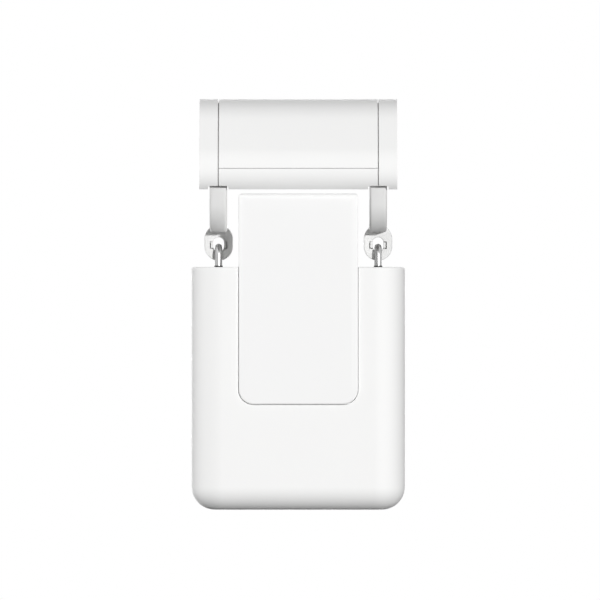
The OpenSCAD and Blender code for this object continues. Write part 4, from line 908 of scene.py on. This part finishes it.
# Charging socket, setup button and light pipe: a drawn steel socket soldered to the board, a white moulded
# button whose stem reaches the switch, and a clear acrylic pipe that carries the lamp's light to the bottom.
BUTTON_STEM_R = 1.2
BUTTON_FLANGE = 0.8
BUTTON_RIM = 0.5
BUTTON_DISH = 0.25
BUTTON_FILLETS = (0.35, 0.1, 0.15, 0.15, 0.2, 0.2, 0)
PIPE_FILLETS = (0, 0.35, 0.15, 0)
ACRYLIC = (0.9, 0.93, 0.93)
HAZE = 0.4

plate_steel = machined("plate_steel", STEEL, rough=0.34, stretch=(0.05, 1, 1), depth=0.0015)
socket_can = trimmed("charging_socket", width=0.08)
show(socket_can, plate_steel, "motor_unit", "plate_steel", "charging_socket")

low, high = span("setup_button")
seat = floor_z + BODY_WALL + BUTTON_GAP
flange_r = (high[0] - low[0]) / 2
dish = np.linspace(0, BUTTON_R - BUTTON_RIM, 9)
dished = np.stack([dish, low[2] + BUTTON_DISH * (1 - (dish / dish[-1]) ** 2)], 1)
line = [(BUTTON_R, low[2]), (BUTTON_R, seat), (flange_r, seat), (flange_r, seat + BUTTON_FLANGE)]
line += [(BUTTON_STEM_R, seat + BUTTON_FLANGE), (BUTTON_STEM_R, high[2]), (0, high[2])]
fillets = np.concatenate([np.zeros(len(dish)), BUTTON_FILLETS])
line = bent(np.concatenate([dished, line]), fillets, steps=4)
button = turned("button_cap", line, 2, (button_x, 0), steps=72)
show(smooth(button, sharp=40), white_plastic, "button", "white_shell", "setup_button")


def clear(space):
    """Clear acrylic, a little uneven from polishing."""
    haze = noise(space, HAZE)
    return {"Base Color": tinted(space, ACRYLIC, 0.95 + 0.05 * haze), "Roughness": 0.05 + 0.1 * haze}


low, high = span("light_pipe")
line = [(0, low[2]), (pipe_r, low[2]), (pipe_r, high[2]), (0, high[2])]
pipe = turned("acrylic_pipe", bent(line, PIPE_FILLETS), 2, (pipe_x, 0), steps=48)
clear_acrylic = finish("clear_acrylic", clear, {"Transmission Weight": 1, "IOR": 1.49})
show(smooth(pipe, sharp=40), clear_acrylic, "motor_unit", "clear_pipe", "light_pipe")


# Gear motor: a drawn steel can, a turned gearhead with two tapped holes, a black end cap and two insulated
# leads. Two countersunk screws hold it on the front gearbox plate.
CAN_STEEL = (0.5, 0.5, 0.5)
LEAD = (0.34, 0.016, 0.014)

motor_steel = machined("motor_steel", CAN_STEEL, rough=0.36, stretch=(1, 0.04, 1), depth=0.002)
show(trimmed("motor_can", width=0.8), motor_steel, "motor_unit", "motor_steel", "motor_can")
show(trimmed("gearhead", width=0.3), turned_steel, "motor_unit", "plate_steel", "gearhead")
show(trimmed("motor_end_cap", width=0.4), black_plastic, "motor_unit", "black_plastic", "motor_end_cap")
keep(plated_steel, "motor_screws")
keep(moulded("red_lead", LEAD, rough=0.4, grain=0.6, depth=0.004, cloud=0.1), "motor_leads")


# Gearbox: two blanked steel plates on brass spacers, held by countersunk screws. Two fixed pins carry the
# moulded acetal gears between them, and a brass pinion sits on the motor's output shaft.
BRASS = (0.72, 0.5, 0.2)
ACETAL = (0.78, 0.76, 0.69)

brass = machined("brass", BRASS, rough=0.28, stretch=(1, 0.06, 1), depth=0.0015)
acetal = moulded("acetal", ACETAL, rough=0.36, grain=0.6, depth=0.002, cloud=0.03)
for plate in ("gearbox_front_plate", "gearbox_rear_plate"):
    show(trimmed(plate, width=0.15), plate_steel, "motor_unit", "plate_steel", plate)
keep(brass, "gearbox_spacers", "pinion")
keep(plated_steel, "gearbox_screws")
keep(turned_steel, "gear_pins", "output_shaft")
keep(acetal, "drive_gear", "second_gear", "first_gear")


# Drive wheel: a hollow-waisted tyre of dark rubber with fine grooves, moulded over a white nylon hub.
# Its steel axle turns in two ball bearings, one in the tower's inner wall and one in the rear gearbox plate.
RUBBER = (0.03, 0.03, 0.031)
TREAD_PITCH = 1.5
TREAD_DEPTH = 0.3
TREAD_BORDER = 1
TYRE_FILLET = 0.6
TYRE_GAP = 0.02
HUB_BOSS_R = 4
HUB_WEB = 1.5
HUB_RIM = 1.6
HUB_FILLET = 0.25
AXLE_R = 2.02


def tread(place, half):
    """How deep the tyre is grooved at places along its axle: a cosine wave, one every TREAD_PITCH mm,
    cut off so that wide lands part narrow grooves, with no groove within TREAD_BORDER mm of the ends."""
    wave = np.clip(np.cos(2 * np.pi * place / TREAD_PITCH) * 2 - 0.9, 0, 1)
    return TREAD_DEPTH * wave * (np.abs(place) < half - TREAD_BORDER)


rubber = moulded("tyre_rubber", RUBBER, rough=0.72, grain=0.35, depth=0.012, cloud=0.2)
low, high = span("drive_tyre")
wheel_z = (low[2] + high[2]) / 2
hub_r, hub_y = span("drive_hub")[1][:2]
place = np.linspace(low[1], high[1], 241)
hollow = waisted((high[2] - low[2]) / 2, high[1], place) - tread(place, high[1])
seat = [(hub_r + TYRE_GAP, high[1]), (hub_r + TYRE_GAP, low[1])]
line = np.concatenate([np.stack([hollow, place], 1), seat])
fillets = np.zeros(len(line))
fillets[[0, len(place) - 1]] = TYRE_FILLET
tyre = turned("tyre", bent(line, fillets, closed=True), 1, (0, wheel_z), steps=128)
show(smooth(tyre, sharp=50), rubber, "drive_wheel", "tyre_rubber", "drive_tyre")

hub_in = hub_r - HUB_RIM
half_hub = [(hub_r, hub_y), (hub_in, hub_y), (hub_in, HUB_WEB)]
half_hub += [(HUB_BOSS_R, HUB_WEB), (HUB_BOSS_R, hub_y), (AXLE_R, hub_y)]
line = half_hub + [(r, -y) for r, y in half_hub[::-1]]
hub = turned("hub", bent(line, HUB_FILLET, steps=3, closed=True), 1, (0, wheel_z))
show(smooth(hub, sharp=40), nylon, "drive_wheel", "roller_nylon", "drive_hub")
show(trimmed("drive_axle", width=0.3), turned_steel, "drive_wheel", "steel", "drive_axle")
keep(turned_steel, "drive_bearings")


# Top deck and tower: a white plate let into the case's rim, and the white housing screwed on it, with a slot
# for the wheel, a high front wall behind the panel and a raised back over the gears.
show(trimmed("top_deck", width=0.2), white_plastic, "motor_unit", "white_shell", "top_deck")
show(trimmed("tower_housing", width=0.05), white_plastic, "motor_unit", "white_shell", "tower_housing")
keep(plated_steel, "deck_screws")


# Front panel: a plain white plate with softly rounded edges, glued into the shell's recess and against the
# tower. Its upper edge rolls back further than the others.
PANEL_WHITE = (0.92, 0.92, 0.918)
PANEL_EDGE = 0.7
PANEL_BACK_EDGE = 0.2
PANEL_TOP_SINK = 2
PANEL_TOP_H = 3
PANEL_ROWS = (1, 1.4, 1.8, 2.2, 2.6)

panel_plastic = moulded(
    "panel_plastic", PANEL_WHITE, rough=0.55, grain=0.24, depth=0.003, cloud=0.01, gloss=0.12
)
low, high = span("front_panel")
turn = np.linspace(0, np.pi / 2, 7)
rows = [(high[0], high[1]), (PANEL_BACK_EDGE, high[1]), (0, high[1] - PANEL_BACK_EDGE)]
rows += list(zip(PANEL_EDGE * (1 - np.cos(turn)), low[1] + PANEL_EDGE * (1 - np.sin(turn))))
rows += [(inset, low[1]) for inset in (*PANEL_ROWS, PANEL_TOP_H, PANEL_LOW_R, high[0])]
grid = np.concatenate([through(panel_line(inset), y) for inset, y in rows])
up = np.clip(1 - (high[2] - grid[3:, :, 2]) / PANEL_TOP_H, 0, 1)
grid[3:, :, 1] = np.maximum(grid[3:, :, 1], low[1] + PANEL_TOP_SINK * (1 - np.sqrt(1 - up**2)))
panel = skin("panel", grid)
show(smooth(panel, sharp=30), panel_plastic, "motor_unit", "white_panel", "front_panel")


# Rear cover and its screws: the back half of the case, closed against the front shell at an open seam. Four
# screws sit in counterbores and go through its bosses into the front shell's posts.
REAR_SEAM = 0.25
REAR_BOSS_R = 3
REAR_HOLE_R = 1.45
COUNTERBORE_R = 2.55
COUNTERBORE_DEPTH = 2

boss_y = span("rear_cover")[0][1]
rear = case("shell_rear", 1, body_high[1] + REAR_SEAM)
bosses, drills = [], []
for sign in (-1, 1):
    for x, z in POSTS:
        root_y, sink = half_d - BODY_WALL / 2, half_d - COUNTERBORE_DEPTH
        y0, y1 = boss_y - PAST, half_d + PAST
        line = [(0, boss_y), (REAR_BOSS_R, boss_y), (REAR_BOSS_R, root_y), (0, root_y)]
        bosses.append(turned("post", line, 1, (sign * x, z), steps=48))
        line = [(0, y0), (REAR_HOLE_R, y0), (REAR_HOLE_R, sink)]
        line += [(COUNTERBORE_R, sink), (COUNTERBORE_R, y1), (0, y1)]
        drills.append(turned("drill", line, 1, (sign * x, z), steps=48))
shaped(rear, "UNION", *bosses)
shaped(rear, "DIFFERENCE", *drills)
show(rounded(rear, width=0.2), white_plastic, "motor_unit", "white_shell", "rear_cover")
show(trimmed("rear_screws", width=0.15), plated_steel, "motor_unit", "steel", "rear_screws")


# Studio: a pale floor well below the object, a small lamp from the right, and wide ones from the left, from
# above and from behind. Beyond the object, the camera, mirrors and clear pieces see white. A lamp has a
# power, an azimuth and a height in degrees, and lengths are in metres.
KEY = (2.92, 20.5, 7)
FILL = (11, -99, 4)
TOP = (1.3, -25, 42)
BACK = (12, 180, 12)
KEY_ANGLE = 4
LAMP_SIZE = 0.8
BACK_SIZE = 1.0
LAMP_FAR = 1.25
AMBIENT = 0.09
PALE = (0.9, 0.9, 0.9, 1)
DULL = (0.04, 0.04, 0.04, 1)
WHITE_LIGHT = (1, 1, 1, 1)
FLOOR_GLOW = 0.65
FLOOR_Z = -0.55
FLOOR_HALF = 6
PHOTO_MIDDLE = (0.00068, -0.022, -0.0514)
PHOTO_WIDTH = 0.24
LENS = 800
SENSOR = 36
SIGHT = 100


def lamp(name, kind, power, azimuth, height, settings):
    """A lamp that shines at the object from azimuth degrees right of the front and height degrees up."""
    data = bpy.data.lights.new(name, kind)
    data.energy = power
    for key, value in settings.items():
        setattr(data, key, value)
    made = placed(name, data)
    a, h = math.radians(azimuth), math.radians(height)
    towards = np.array([math.sin(a) * math.cos(h), -math.cos(a) * math.cos(h), math.sin(h)])
    made.location = towards * LAMP_FAR
    made.location.z += PHOTO_MIDDLE[2]
    made.rotation_euler = (math.pi / 2 - h, 0, a)
    made.visible_camera = False
    return made


lamp("key", "SUN", *KEY, {"angle": math.radians(KEY_ANGLE)})
lamp("fill", "AREA", *FILL, {"size": LAMP_SIZE}).visible_glossy = False
lamp("top", "AREA", *TOP, {"size": LAMP_SIZE})
lamp("back", "AREA", *BACK, {"size": BACK_SIZE})


def seen(tree):
    """1 for rays of the camera, of mirrors and of clear pieces, and 0 for the rest."""
    rays = ("Is Camera Ray", "Is Glossy Ray", "Is Transmission Ray")
    path = [Socket(tree).node("ShaderNodeLightPath", {}, {}, ray) for ray in rays]
    both = path[0].math("MAXIMUM", path[0], path[1])
    return both.math("MAXIMUM", both, path[2])


world = bpy.data.worlds.new("studio")
world.use_nodes = True
bpy.context.scene.world = world
tree = world.node_tree
dim = Socket(tree).node("ShaderNodeBackground", {}, {"Color": WHITE_LIGHT, "Strength": AMBIENT})
white = Socket(tree).node("ShaderNodeBackground", {}, {"Color": WHITE_LIGHT, "Strength": 1})
light = dim.node("ShaderNodeMixShader", {}, {0: seen(tree), 1: dim, 2: white})
tree.links.new(light.out, tree.nodes["World Output"].inputs["Surface"])

floor_mat = bpy.data.materials.new("floor")
floor_mat.use_nodes = True
tree = floor_mat.node_tree
root = Socket(tree)
pale = root.node("ShaderNodeBsdfDiffuse", {}, {"Color": PALE})
glow = root.node("ShaderNodeEmission", {}, {"Color": WHITE_LIGHT, "Strength": FLOOR_GLOW})
lit = root.node("ShaderNodeAddShader", {}, {0: pale, 1: glow})
dull = root.node("ShaderNodeBsdfDiffuse", {}, {"Color": DULL})
sight = root.node("ShaderNodeMixShader", {}, {0: seen(tree), 1: dull, 2: lit})
below = root.node("ShaderNodeNewGeometry", {}, {}, "Backfacing")
gone = root.node("ShaderNodeBsdfTransparent", {}, {})
open_below = root.node("ShaderNodeMixShader", {}, {0: below, 1: sight, 2: gone})
tree.links.new(open_below.out, tree.nodes["Material Output"].inputs["Surface"])

edge = FLOOR_HALF / MM
sheet = np.array([[(-edge, -edge, 0), (-edge, edge, 0)], [(edge, -edge, 0), (edge, edge, 0)]])
floor = skin("floor", sheet + (0, 0, FLOOR_Z / MM))
floor.data.materials.append(floor_mat)

lens = bpy.data.cameras.new("camera")
lens.lens, lens.sensor_width, lens.clip_end = LENS, SENSOR, SIGHT
camera = placed("camera", lens)
camera.location = PHOTO_MIDDLE
camera.location.y -= PHOTO_WIDTH * LENS / SENSOR
camera.rotation_euler = (math.pi / 2, 0, 0)
bpy.context.scene.camera = camera
bpy.context.scene.view_settings.view_transform = "Standard"
